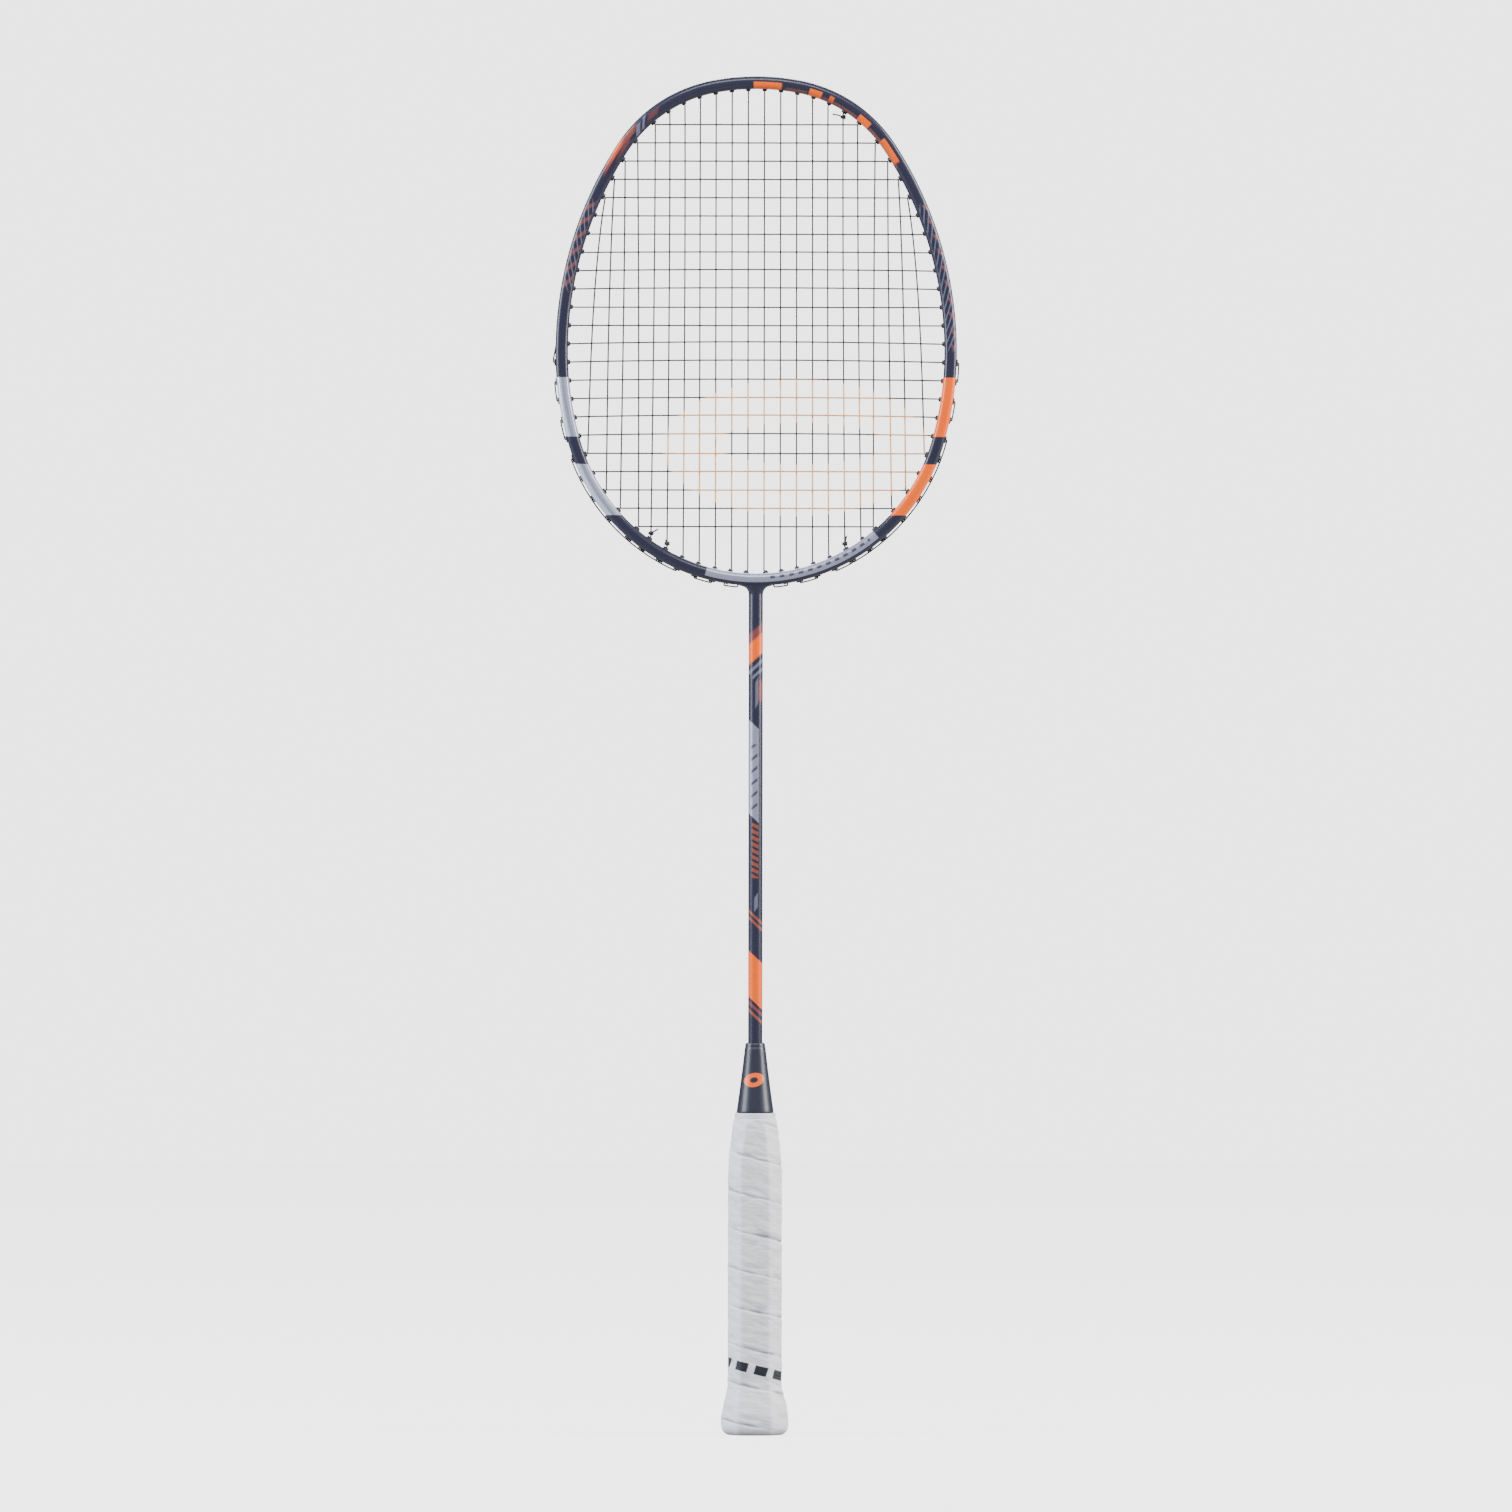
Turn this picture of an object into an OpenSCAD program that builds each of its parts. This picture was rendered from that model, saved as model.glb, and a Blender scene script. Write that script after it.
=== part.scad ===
// Badminton racket, standing on its butt.
// +Z runs from the butt to the tip of the head, the string bed lies in the XZ plane.
// Sizes are in millimetres.

/* [Overall] */
// Length from the butt to the tip of the head
overall_length = 675; // [580:1:720]

/* [Head] */
// Width over the frame
head_width = 199.5; // [160:0.5:240]
// Length over the frame
head_length = 253.2; // [205:0.2:305]
// Height of the widest line, as a share of the head length
widest_share = 0.459; // [0.42:0.001:0.5]
// Crown radius, as a share of half the head width
crown_share = 1.166; // [1.0:0.001:1.3]
// Half the angle of the crown arc
crown_angle = 10.7; // [5:0.1:20]
// Shoulder radius, as a share of half the head width
shoulder_share = 0.73; // [0.6:0.001:0.78]
// Throat arc radius, as a share of half the head width
throat_share = 0.972; // [0.8:0.001:0.98]

/* [Frame section] */
// Frame width in the plane of the strings
frame_width = 6.2; // [5:0.1:8]
// Frame depth across the plane of the strings
frame_depth = 10.4; // [8:0.1:13]
// Corner radius of the frame section
frame_corner = 2.4; // [1:0.1:2.6]
// Wall of the hollow frame
frame_wall = 1.1; // [0.8:0.1:1.5]
// Depth of the string groove round the upper half
groove_depth = 1.5; // [1:0.1:1.8]
// Width of the string groove
groove_width = 4.4; // [3.8:0.1:5]

/* [Strings] */
// String thickness
string_gauge = 0.7; // [0.6:0.01:0.8]
// Number of main strings
main_count = 22; // [20:2:22]
// Number of cross strings
cross_count = 23; // [21:2:23]
// Width covered by the main strings, as a share of the head width
main_share = 0.8475; // [0.8:0.0005:0.86]
// How far the outer main strings draw in at the crown, as a share
crown_gather = 0.11; // [0:0.005:0.12]
// How far the outer main strings draw in at the throat, as a share
throat_gather = 0.01; // [0:0.005:0.04]
// First cross string below the tip
top_gap = 24; // [18:0.5:30]
// Last cross string above the lower edge of the head
bottom_gap = 29.4; // [24:0.2:36]
// Gap between the main and the cross strings where they pass
string_gap = 0.04; // [0.02:0.01:0.1]

/* [Grommets] */
// Bore of a plain grommet
grommet_bore = 1.6; // [1.5:0.1:1.8]
// Bore of a grommet that two strings share
wide_bore = 2.2; // [2:0.1:2.4]
// Wall of a grommet barrel
grommet_wall = 0.35; // [0.3:0.05:0.4]
// How far the grommet head is wider than the barrel, each side
head_rim = 0.6; // [0.4:0.1:0.7]
// Thickness of the grommet head
head_thick = 0.6; // [0.5:0.1:0.8]
// Length of barrel that stands proud inside the head
grommet_tail = 1.1; // [0.6:0.1:2]
// Lean of the two lowest pairs of grommets, away from the throat
throat_lean = 30; // [20:1:34]

/* [Shaft] */
// Shaft diameter
shaft_d = 7.1; // [6.4:0.1:8]
// Shaft wall
shaft_wall = 1.3; // [1:0.1:1.8]
// Depth of the shaft inside the handle
shaft_depth = 112; // [80:1:125]
// Radius of the fillets that join the throat to the head
throat_fillet = 4.4; // [3:0.1:6]
// Depth of the throat across the plane of the strings
throat_depth = 9.2; // [8:0.1:10]
// Half the angle of the bar that the T-joint has inside the head
t_bar_angle = 6.9; // [5:0.1:7]
// Length of the T-joint's stem inside the shaft
t_stem_length = 25; // [15:1:35]

/* [Handle] */
// Length of the grip
grip_length = 159.8; // [140:0.2:180]
// Width of the grip in the plane of the strings
grip_width = 26.8; // [24:0.2:30]
// Depth of the grip across the plane of the strings
grip_depth = 24.4; // [22:0.2:28]
// Width of the front and back facets
front_facet = 14; // [11:0.2:15]
// Diameter over the finishing tape, at the upper end of the grip
tape_d = 20.5; // [18:0.1:22]
// Thickness of the finishing tape
tape_thick = 0.35; // [0.2:0.05:0.6]
// Width of the grip just below the finishing tape
grip_top_width = 21.8; // [20.6:0.1:24]
// Length of the taper at the upper end of the grip
grip_taper = 30; // [20:1:45]
// How far the butt stands out on each side
butt_flare = 3.3; // [2:0.1:4.5]
// Height of the butt flare
butt_height = 27; // [20:0.5:35]
// Thickness of the grip wrap
wrap_thick = 1.7; // [1.2:0.1:2.4]
// Rise of the wrap in one turn
wrap_pitch = 19; // [15:0.5:25]
// Length of the cone above the grip
cone_length = 34.8; // [25:0.2:50]
// Diameter of the cone where it meets the grip
cone_base_d = 18.4; // [16:0.1:20]
// Diameter of the cone where it meets the shaft
cone_top_d = 9.3; // [8.6:0.1:12]
// Height of the finishing tape at the upper end of the grip
tape_height = 4.6; // [3:0.1:20]

/* [Fits] */
// Clearance of the shaft and the inner parts
fit = 0.1; // [0.05:0.05:0.2]

/* [Hidden] */
$fn = 48;

// ---- head outline: three arcs above the widest line, two below it, all tangent ----
half = head_width / 2;
rise = head_length * (1 - widest_share);
drop = head_length * widest_share;
mid_z = overall_length - rise;
crown_r = crown_share * half;
shoulder_r = shoulder_share * half;
throat_r = throat_share * half;
shoulder_x = (crown_r - shoulder_r) * sin(crown_angle);
shoulder_z = rise - crown_r + (crown_r - shoulder_r) * cos(crown_angle);
side_r = (pow(shoulder_r, 2) - pow(shoulder_x - half, 2) - pow(shoulder_z, 2))
         / (2 * (shoulder_x - half + shoulder_r));
low_r = (half * half + drop * drop - 2 * drop * throat_r) / (2 * (half - throat_r));
side_from = 90 - atan2(shoulder_z, shoulder_x - half + side_r);
throat_from = 180 - atan2(low_r - half, drop - throat_r);

// Centre and radius of the outline arc whose outward normal leans n degrees from +Z
function arc(n) =
    n <= crown_angle ? [0, rise - crown_r, crown_r]
    : n <= side_from ? [shoulder_x, shoulder_z, shoulder_r]
    : n <= 90 ? [half - side_r, 0, side_r]
    : n <= throat_from ? [half - low_r, 0, low_r]
    : [0, throat_r - drop, throat_r];

// Point of the string plane at normal angle n, lying "out" beyond the outline, at depth y
function at(n, out, y = 0) =
    let (c = arc(n))
    [c[0] + (c[2] + out) * sin(n), y, mid_z + c[1] + (c[2] + out) * cos(n)];

// Normal angle of the outline offset by "out" where it reaches x, above or below
function angle_up(x, out) =
    x <= at(crown_angle, out)[0] ? asin(x / (crown_r + out))
    : x <= at(side_from, out)[0] ? asin((x - shoulder_x) / (shoulder_r + out))
    : asin((x - half + side_r) / (side_r + out));
function angle_down(x, out) =
    x <= at(throat_from + 0.001, out)[0] ? 180 - asin(x / (throat_r + out))
    : 180 - asin((x - half + low_r) / (low_r + out));
// The same where it reaches height z
function angle_level(z, out) =
    z >= at(crown_angle, out)[2] ? acos((z - mid_z - rise + crown_r) / (crown_r + out))
    : z >= at(side_from, out)[2] ? acos((z - mid_z - shoulder_z) / (shoulder_r + out))
    : z >= mid_z ? acos((z - mid_z) / (side_r + out))
    : z >= at(throat_from, out)[2] ? acos((z - mid_z) / (low_r + out))
    : acos((z - mid_z + drop - throat_r) / (throat_r + out));

// ---- string layout ----
string_r = string_gauge / 2;
lane = string_r + string_gap / 2;
mouth = -frame_width - grommet_tail - 0.4;
main_pitch = head_width * main_share / (main_count - 1);
cross_pitch = (head_length - top_gap - bottom_gap) / (cross_count - 1);
main_last = main_count / 2 - 1;
cross_last = cross_count - 1;
plain_d = grommet_bore + 2 * grommet_wall;
wide_d = wide_bore + 2 * grommet_wall;
share_within = wide_d + 2 * head_rim + 0.1;

function apart(a, b) = abs(a - b) * PI / 180 * arc((a + b) / 2)[2];
cross_hole = [for (j = [0:cross_last])
    angle_level(overall_length - top_gap - j * cross_pitch, mouth)];
// A main hole that would crowd a cross hole uses that hole
function shared_with(n) =
    let (near = [for (c = cross_hole) if (apart(c, n) < share_within) c])
    len(near) > 0 ? near[0] : n;
function main_x(i, gather) =
    (i + 0.5) * main_pitch * (1 - gather * pow((2 * i + 1) / main_count, 2));
main_top = [for (i = [0:main_last]) shared_with(angle_up(main_x(i, crown_gather), mouth))];
main_low = [for (i = [0:main_last]) shared_with(angle_down(main_x(i, throat_gather), mouth))];
function is_shared(n) = len([for (m = concat(main_top, main_low)) if (m == n) m]) > 0;

// ---- holes: [normal angle, lean away from the throat, barrel diameter, bore, y] ----
function plain(n, lean = 0) = [n, lean, plain_d, grommet_bore, 0];
function wide(n, y = 0) = [n, 0, wide_d, wide_bore, y];
tie_main = 5;
tie_cross = 6;
tail_y = -lane - string_gauge - 0.06;
tie_y = (tail_y - lane) / 2;
// The groove runs out between the last sunk grommet and the first proud one
groove_end = cross_hole[12];
ramp_end = cross_hole[13];
head_span = (wide_d / 2 + head_rim) / side_r * 180 / PI;
groove_stop = groove_end + head_span;

function is_in(v, list) = len([for (w = list) if (w == v) w]) > 0;
cross_only = [for (c = cross_hole) if (!is_in(c, concat(main_top, main_low))) c];
both = [for (c = cross_hole) if (is_in(c, concat(main_top, main_low))) c];
top_only = [for (m = main_top) if (!is_in(m, cross_hole)) m];
low_only = [for (m = main_low) if (!is_in(m, cross_hole)) m];

side_holes = [for (c = cross_only) plain(c)];
shared_holes = [for (c = both) wide(c)];
crown_right = [for (m = top_only) if (m != main_top[tie_main]) plain(m)];
crown_left = [for (m = top_only) plain(m)];
throat_right = [for (m = low_only) if (m != main_low[tie_main]) plain(m, lean_of(m))];
throat_left = [for (h = throat_right) if (h[0] != main_low[tie_cross]) h];
tie_right = [wide(main_top[tie_main]), wide(main_low[tie_main], tie_y)];
tie_left = [wide(main_low[tie_cross]), wide(main_low[tie_main], tie_y)];
function lean_of(n) =
    n == main_low[0] ? throat_lean
    : n == main_low[1] ? throat_lean * 0.6
    : 0;

// Depth of a grommet head's seat along its hole, sunk further where the hole leans
function head_r(h) = h[2] / 2 + head_rim;
function deep_of(h) = reach(h, seat(h)) - head_r(h) * tan(h[1]);

// Direction of a hole, and the way along it from its mouth to the outline offset by "out"
function aim(h) = h[0] - h[1];
function reach(h, out) =
    let (r = arc(h[0])[2])
    let (c = (r + mouth) * cos(h[1]))
    sqrt(c * c - pow(r + mouth, 2) + pow(r + out, 2)) - c;
function seat(h) = h[0] < groove_end + 0.01 ? -groove_depth : 0;

module along(h, y = 0) {
    translate(at(h[0], mouth, y))
        rotate([0, aim(h), 0])
            children();
}

// A leaning hole has a flat seat sunk for its grommet head
module hole_cut(h) {
    deep = deep_of(h);
    along(h, h[4]) {
        cylinder(h = deep + 2, d = h[2] + fit);
        if (h[1] > 0)
            translate([0, 0, deep])
                cylinder(h = 4, r = head_r(h) + fit);
    }
}

module grommet(h) {
    deep = deep_of(h);
    along(h, h[4])
        difference() {
            union() {
                translate([0, 0, 0.4])
                    cylinder(h = deep - 0.4, d = h[2]);
                translate([0, 0, deep])
                    cylinder(h = head_thick, r = head_r(h));
            }
            translate([0, 0, -1])
                cylinder(h = deep + 4, d = h[3]);
        }
}

module both_sides() {
    children();
    mirror([1, 0, 0])
        children();
}

// ---- frame ----
module rounded(w, d, r) {
    square([w - 2 * r, d], center = true);
    square([w, d - 2 * r], center = true);
    for (i = [-1, 1])
        for (j = [-1, 1])
            translate([i * (w / 2 - r), j * (d / 2 - r)])
                circle(r = r);
}

// The cavity leaves the same wall inside and under the groove
cavity_outer = groove_depth + frame_wall;
cavity_width = frame_width - frame_wall - cavity_outer;
cavity_depth = frame_depth - 2 * frame_wall;

module cavity(gap = 0) {
    translate([-cavity_outer - cavity_width / 2, 0])
        rounded(cavity_width - 2 * gap, cavity_depth - 2 * gap, cavity_width / 2 - gap - 0.05);
}

module frame_section(thin = 0) {
    difference() {
        translate([-frame_width / 2, 0])
            rounded(frame_width - 2 * thin, frame_depth - 2 * thin, frame_corner);
        cavity(-thin);
    }
}

// Where two arcs meet, one is thinner by "lap" all over and runs "lap_angle" into the other
lap = 0.01;
lap_angle = 0.2;

// Sweeps a section along one arc of the outline, from one normal angle to another
module sweep(from, to, over = 0) {
    c = arc((from + to) / 2);
    translate([c[0], 0, mid_z + c[1]])
        rotate([90, 0, 0])
            rotate([0, 0, 90 - to - over])
                rotate_extrude(angle = to - from + 2 * over)
                    translate([c[2], 0])
                        children();
}

module groove_section(more = 0) {
    translate([-groove_depth - more, -groove_width / 2 - more])
        square([groove_depth + 1 + 2 * more, groove_width + 2 * more]);
}

module ramp() {
    a = at(groove_stop - 0.3, 0.05 - groove_depth);
    b = at(ramp_end - head_span, 0.02);
    c = at(ramp_end - head_span, 0.8);
    d = at(groove_stop - 0.3, 0.8);
    rotate([90, 0, 0])
        linear_extrude(groove_width - 2 * lap, center = true)
            polygon([for (p = [a, b, c, d]) [p[0], p[2]]]);
}

head_foot = overall_length - head_length;
throat_z = head_foot - throat_fillet;
stem_r = shaft_d / 2 - shaft_wall - fit;

module throat() {
    r = shaft_d / 2;
    top = cavity_outer - 0.2;
    intersection() {
        translate([0, 0, throat_z])
            rotate_extrude()
                difference() {
                    square([r + throat_fillet, throat_fillet + top]);
                    translate([r + throat_fillet, 0])
                        circle(r = throat_fillet);
                }
        translate([0, 0, throat_z - 1])
            linear_extrude(throat_fillet + top + 2)
                rounded(shaft_d + 2 * throat_fillet + 1, throat_depth, 3);
    }
}

module head_frame() color([0.2, 0.2, 0.3]) {
    difference() {
        union() {
            sweep(-crown_angle - lap_angle, crown_angle + lap_angle) frame_section(lap);
            both_sides() {
                sweep(crown_angle, side_from) frame_section();
                sweep(side_from, 90, lap_angle) frame_section(lap);
                sweep(90, throat_from) frame_section();
            }
            sweep(throat_from - lap_angle, 360 - throat_from + lap_angle) frame_section(lap);
            throat();
        }
        sweep(-crown_angle - lap_angle, crown_angle + lap_angle) groove_section();
        both_sides() {
            sweep(crown_angle, side_from) groove_section(lap);
            sweep(side_from - lap_angle, groove_stop) groove_section();
            ramp();
        }
        both_sides() {
            for (h = concat(side_holes, shared_holes))
                hole_cut(h);
        }
        for (h = concat(crown_right, throat_right, tie_right))
            hole_cut(h);
        mirror([1, 0, 0])
            for (h = concat(crown_left, throat_left, tie_left))
                hole_cut(h);
        translate([0, 0, throat_z - 1])
            cylinder(h = throat_fillet + cavity_outer + 1.2, r = stem_r + fit);
    }
}

module t_joint() color([0.55, 0.56, 0.58]) {
    difference() {
        union() {
            sweep(180 - t_bar_angle, 180 + t_bar_angle) cavity(fit);
            translate([0, 0, throat_z - t_stem_length])
                cylinder(h = t_stem_length + throat_fillet + cavity_outer + 0.4, r = stem_r);
        }
        both_sides()
            along(plain(main_low[0], throat_lean))
                cylinder(h = 14, d = plain_d + 2 * fit);
    }
}

module shaft() color([0.2, 0.2, 0.3]) {
    foot = grip_length - shaft_depth;
    translate([0, 0, foot])
        difference() {
            cylinder(h = throat_z - foot, d = shaft_d);
            translate([0, 0, -1])
                cylinder(h = throat_z - foot + 2, d = shaft_d - 2 * shaft_wall);
        }
}

// ---- strings ----
run_out = head_thick + string_r + 0.1;
function lane_out(h) = seat(h) + run_out;
function flat(p) = [p[0], p[2]];
function mouth_of(h) = flat(at(h[0], mouth));
// Where the hole's axis meets the lane outside the frame, as a normal angle
function exit_angle(h) =
    let (c = arc(h[0]))
    let (r = reach(h, lane_out(h)))
    let (p = mouth_of(h) + r * [sin(aim(h)), cos(aim(h))] - [c[0], mid_z + c[1]])
    h[1] == 0 ? h[0] : atan2(p[0], p[1]);
function exit_of(h) = mouth_of(h) + reach(h, lane_out(h)) * [sin(aim(h)), cos(aim(h))];
// Points between two exits, so the string follows the frame
function between(a, b) =
    let (n = exit_angle(a), m = exit_angle(b))
    let (k = max(1, ceil(apart(n, m) / 11)))
    lane_out(a) < lane_out(b) ? [flat(at(m - head_span, lane_out(b)))]
    : [for (i = [1:1:k - 1]) flat(at(n + (m - n) * i / k, lane_out(a)))];
function turned(list) = [for (i = [len(list) - 1:-1:0]) list[i]];
function across(list) = [for (p = list) [-p[0], p[1]]];

// A round string through the points of a flat path, with a true bend at each corner.
// The straight lengths run a little way into the bends, which are thicker by "lap".
function bend_of(turn) = abs(turn) > 20 ? 0.5 : abs(turn) > 2 ? 5 : 40;
function bend_cut(turn) = bend_of(turn) * tan(abs(turn) / 2);

module straight(p, angle, long) {
    translate(p)
        rotate([0, 90, angle])
            cylinder(h = long, r = string_r);
}

module bend(p, before, turn) {
    side = turn > 0 ? 1 : -1;
    r = bend_of(turn);
    start = p - bend_cut(turn) * [cos(before), sin(before)];
    translate(start + r * side * [-sin(before), cos(before)])
        rotate([0, 0, side > 0 ? before - 90 : before + turn + 90])
            rotate_extrude(angle = abs(turn))
                translate([r, 0])
                    circle(r = string_r + lap);
}

module strand(path, y) {
    n = len(path);
    head = [for (i = [0:n - 2])
        atan2(path[i + 1][1] - path[i][1], path[i + 1][0] - path[i][0])];
    turn = concat([0], [for (i = [1:n - 2]) wrap180(head[i] - head[i - 1])], [0]);
    translate([0, y, 0])
        rotate([90, 0, 0]) {
            for (i = [0:n - 2]) {
                from = max(0, bend_cut(turn[i]) - 0.04);
                to = max(0, bend_cut(turn[i + 1]) - 0.04);
                along_it = [cos(head[i]), sin(head[i])];
                straight(path[i] + from * along_it, head[i], norm(path[i + 1] - path[i]) - from - to);
            }
            for (i = [1:n - 2])
                if (abs(turn[i]) > 0.2)
                    bend(path[i], head[i - 1], turn[i]);
        }
}
function wrap180(a) = a > 180 ? a - 360 : a < -180 ? a + 360 : a;

function top_hole(i) = plain(main_top[i]);
function low_hole(i) = plain(main_low[i], lean_of(main_low[i]));
// One half of the main string, from the first loop over the crown to its last exit
function main_run(i) =
    let (down = [exit_of(top_hole(i)), mouth_of(top_hole(i)),
                 mouth_of(low_hole(i)), exit_of(low_hole(i))])
    let (next = i == main_last ? []
                : i % 2 == 0 ? between(low_hole(i), low_hole(i + 1))
                : between(top_hole(i), top_hole(i + 1)))
    concat(i % 2 == 0 ? down : turned(down), next);
function joined(lists) = [for (list = lists) for (p = list) p];
main_half = joined([for (i = [0:main_last]) main_run(i)]);
main_last_hole = low_hole(main_last);
main_tie_hole = low_hole(tie_main);
knot_reach = 2.6;
main_tail = concat(
    [exit_of(main_last_hole)],
    between(main_last_hole, main_tie_hole),
    [exit_of(main_tie_hole), mouth_of(main_tie_hole),
     mouth_of(main_tie_hole) + [0, knot_reach]]);

module main_string() color([0.25, 0.25, 0.3]) {
    strand(concat(turned(across(main_half)), main_half), -lane);
    both_sides() {
        strand(main_tail, tail_y);
        corner = exit_of(main_last_hole);
        translate([corner[0], -lane + string_r * 0.8, corner[1]])
            rotate([90, 0, 0])
                cylinder(h = -lane - tail_y + string_r * 1.6, r = string_r * 1.15);
    }
}

// The cross string starts at the right, over the tie-off hole in the crown
cross_start = plain(main_top[tie_main]);
cross_finish = plain(main_low[tie_cross]);
function cross_run(j) =
    let (h = plain(cross_hole[j]))
    let (right = [exit_of(h), mouth_of(h)])
    let (run = concat(right, across(turned(right))))
    let (next = j == cross_last ? [] : between(h, plain(cross_hole[j + 1])))
    concat(j % 2 == 0 ? run : turned(run), j % 2 == 0 ? across(next) : next);
cross_path = concat(
    [mouth_of(cross_start) - [0, knot_reach], mouth_of(cross_start), exit_of(cross_start)],
    between(cross_start, plain(cross_hole[0])),
    joined([for (j = [0:cross_last]) cross_run(j)]),
    across(between(plain(cross_hole[cross_last]), cross_finish)),
    across([exit_of(cross_finish), mouth_of(cross_finish),
            mouth_of(cross_finish) + [0, knot_reach]]));

module cross_string() color([0.25, 0.25, 0.3])
    strand(cross_path, lane);

// Two hitches round a pair of strings, and the cut end of the string
module knot(p, y, half_gap, up, end_angle, end_length) {
    hitch = half_gap + string_gauge + 0.05;
    translate([p[0], y, p[1]]) {
        for (k = [0, 1])
            translate([0, 0, up * (1 + k * string_gauge * 0.85)])
                rotate_extrude()
                    translate([hitch, 0])
                        circle(r = string_r);
        translate([0, -hitch, up * (1 + string_r * 0.7)])
            rotate([0, end_angle, 0])
                cylinder(h = end_length, r = string_r * 0.95);
    }
}

module main_knots() color([0.25, 0.25, 0.3]) {
    p = mouth_of(main_tie_hole);
    half_gap = (-lane - tail_y) / 2;
    knot(p, tie_y, half_gap, 1, 12, 4.5);
    mirror([1, 0, 0])
        knot(p, tie_y, half_gap, 1, 20, 2.2);
}

module cross_knots() color([0.25, 0.25, 0.3]) {
    knot(mouth_of(cross_start), 0, lane, -1, -78, 5.5);
    p = mouth_of(cross_finish);
    knot([-p[0], p[1]], 0, lane, 1, 58, 4.5);
}

// ---- grommets ----
module crown_grommets() color([0.1, 0.1, 0.12]) {
    for (h = crown_right)
        grommet(h);
    mirror([1, 0, 0])
        for (h = crown_left)
            grommet(h);
}

module right_grommets() color([0.1, 0.1, 0.12])
    for (h = side_holes)
        grommet(h);

module left_grommets() color([0.1, 0.1, 0.12])
    mirror([1, 0, 0])
        for (h = side_holes)
            grommet(h);

module throat_grommets() color([0.1, 0.1, 0.12]) {
    for (h = throat_right)
        grommet(h);
    mirror([1, 0, 0])
        for (h = throat_left)
            grommet(h);
}

module shared_grommets() color([0.1, 0.1, 0.12])
    both_sides()
        for (h = shared_holes)
            grommet(h);

module tie_off_grommets() color([0.1, 0.1, 0.12]) {
    for (h = tie_right)
        grommet(h);
    mirror([1, 0, 0])
        for (h = tie_left)
            grommet(h);
}

// ---- handle ----
butt_corner = 4.2;
flare_low = 7;
diagonal = (front_facet + grip_depth) / 2 / sqrt(2);
facet_side = 2 * diagonal * sqrt(2) - grip_width;
bevel = (grip_width - front_facet) / sqrt(2);
tape_z = grip_length - tape_height;
top_half = grip_top_width / 2;

// Half the width of the grip at height z, for a straight half width w
function flare_half(w, share) = w + butt_flare * (1 + cos(180 * share)) / 2;
function taper_half(w, share) = top_half + (w - top_half) * cos(90 * share);

// Outline of one pair of facets, shrunk by "in" to give the wood under the wrap.
// The four sloping facets have their creases shifted a little, so no two meet in a point.
function facet_outline(w, in, shift) =
    let (r = butt_corner - in + shift * 0.3, b = w + butt_flare - in)
    let (low = flare_low + shift * 0.5, high = butt_height + shift)
    let (start = tape_z - grip_taper - shift)
    let (right = concat(
        [for (a = [0:22.5:90]) [b - r + r * sin(a), r - r * cos(a)]],
        [for (k = [0:8]) [flare_half(w, k / 8) - in, low + (high - low) * k / 8]],
        [for (k = [0:6]) [taper_half(w, k / 6) - in, start + (tape_z - start) * k / 6]],
        [[top_half - in, grip_length]]))
    concat(right, [for (p = turned(right)) [-p[0], p[1]]]);

module facet_pair(w, in, angle, shift) {
    rotate([0, 0, angle])
        rotate([90, 0, 0])
            linear_extrude(60, center = true)
                polygon(facet_outline(w, in, shift));
}

module grip_form(in) {
    neck = tape_d / 2 - tape_thick;
    intersection() {
        facet_pair(grip_width / 2, in, 0, 0);
        facet_pair(grip_depth / 2, in, 90, 0);
        facet_pair(diagonal, in, 45, 1.3);
        facet_pair(diagonal, in, -45, 1.3);
        rotate_extrude()
            polygon([
                [0, 0],
                [24, 0],
                [24, tape_z - grip_taper],
                [neck + 1.6 - in, tape_z],
                [neck - in, tape_z],
                [neck - in, grip_length],
                [0, grip_length]]);
    }
}

badge_d = 18;
badge_thick = 1;
spigot_depth = 6;
spigot_r = 6.2;
tack_z = 34;

module handle_core() color([0.78, 0.6, 0.4]) {
    difference() {
        grip_form(wrap_thick);
        translate([0, 0, grip_length - shaft_depth - 0.5])
            cylinder(h = shaft_depth + 2, r = shaft_d / 2 + fit);
        translate([0, 0, grip_length - spigot_depth - 0.3])
            cylinder(h = spigot_depth + 2, r = spigot_r + fit);
        translate([0, 0, -1])
            cylinder(h = badge_thick + 1.2, d = badge_d + 2 * fit);
        tack_place() {
            translate([0, 0, -0.6])
                cylinder(h = 3, d = 4 + 2 * fit);
            translate([0, 0, -7.2])
                cylinder(h = 8, d = 1.2);
        }
    }
}

module tack_place() {
    translate([0, grip_depth / 2 - wrap_thick, tack_z])
        rotate([-90, 0, 0])
            children();
}

module grip_tack() color([0.7, 0.7, 0.72])
    tack_place() {
        translate([0, 0, -0.6])
            cylinder(h = 0.5, d = 4);
        translate([0, 0, -7])
            cylinder(h = 6.6, d = 1.1);
    }

module butt_badge() color([0.15, 0.15, 0.2])
    cylinder(h = badge_thick + 0.2, d = badge_d);

// Facets in turn round the grip: [angle of the normal, distance, width]
grip_facets = [
    [-90, grip_depth / 2, front_facet],
    [-45, diagonal, bevel],
    [0, grip_width / 2, facet_side],
    [45, diagonal, bevel],
    [90, grip_depth / 2, front_facet],
    [135, diagonal, bevel],
    [180, grip_width / 2, facet_side],
    [225, diagonal, bevel]];
girth = 2 * (front_facet + facet_side) + 4 * bevel;
function girth_to(k) = k == 0 ? 0 : girth_to(k - 1) + (grip_facets[k - 1][2] + grip_facets[k][2]) / 2;

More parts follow.
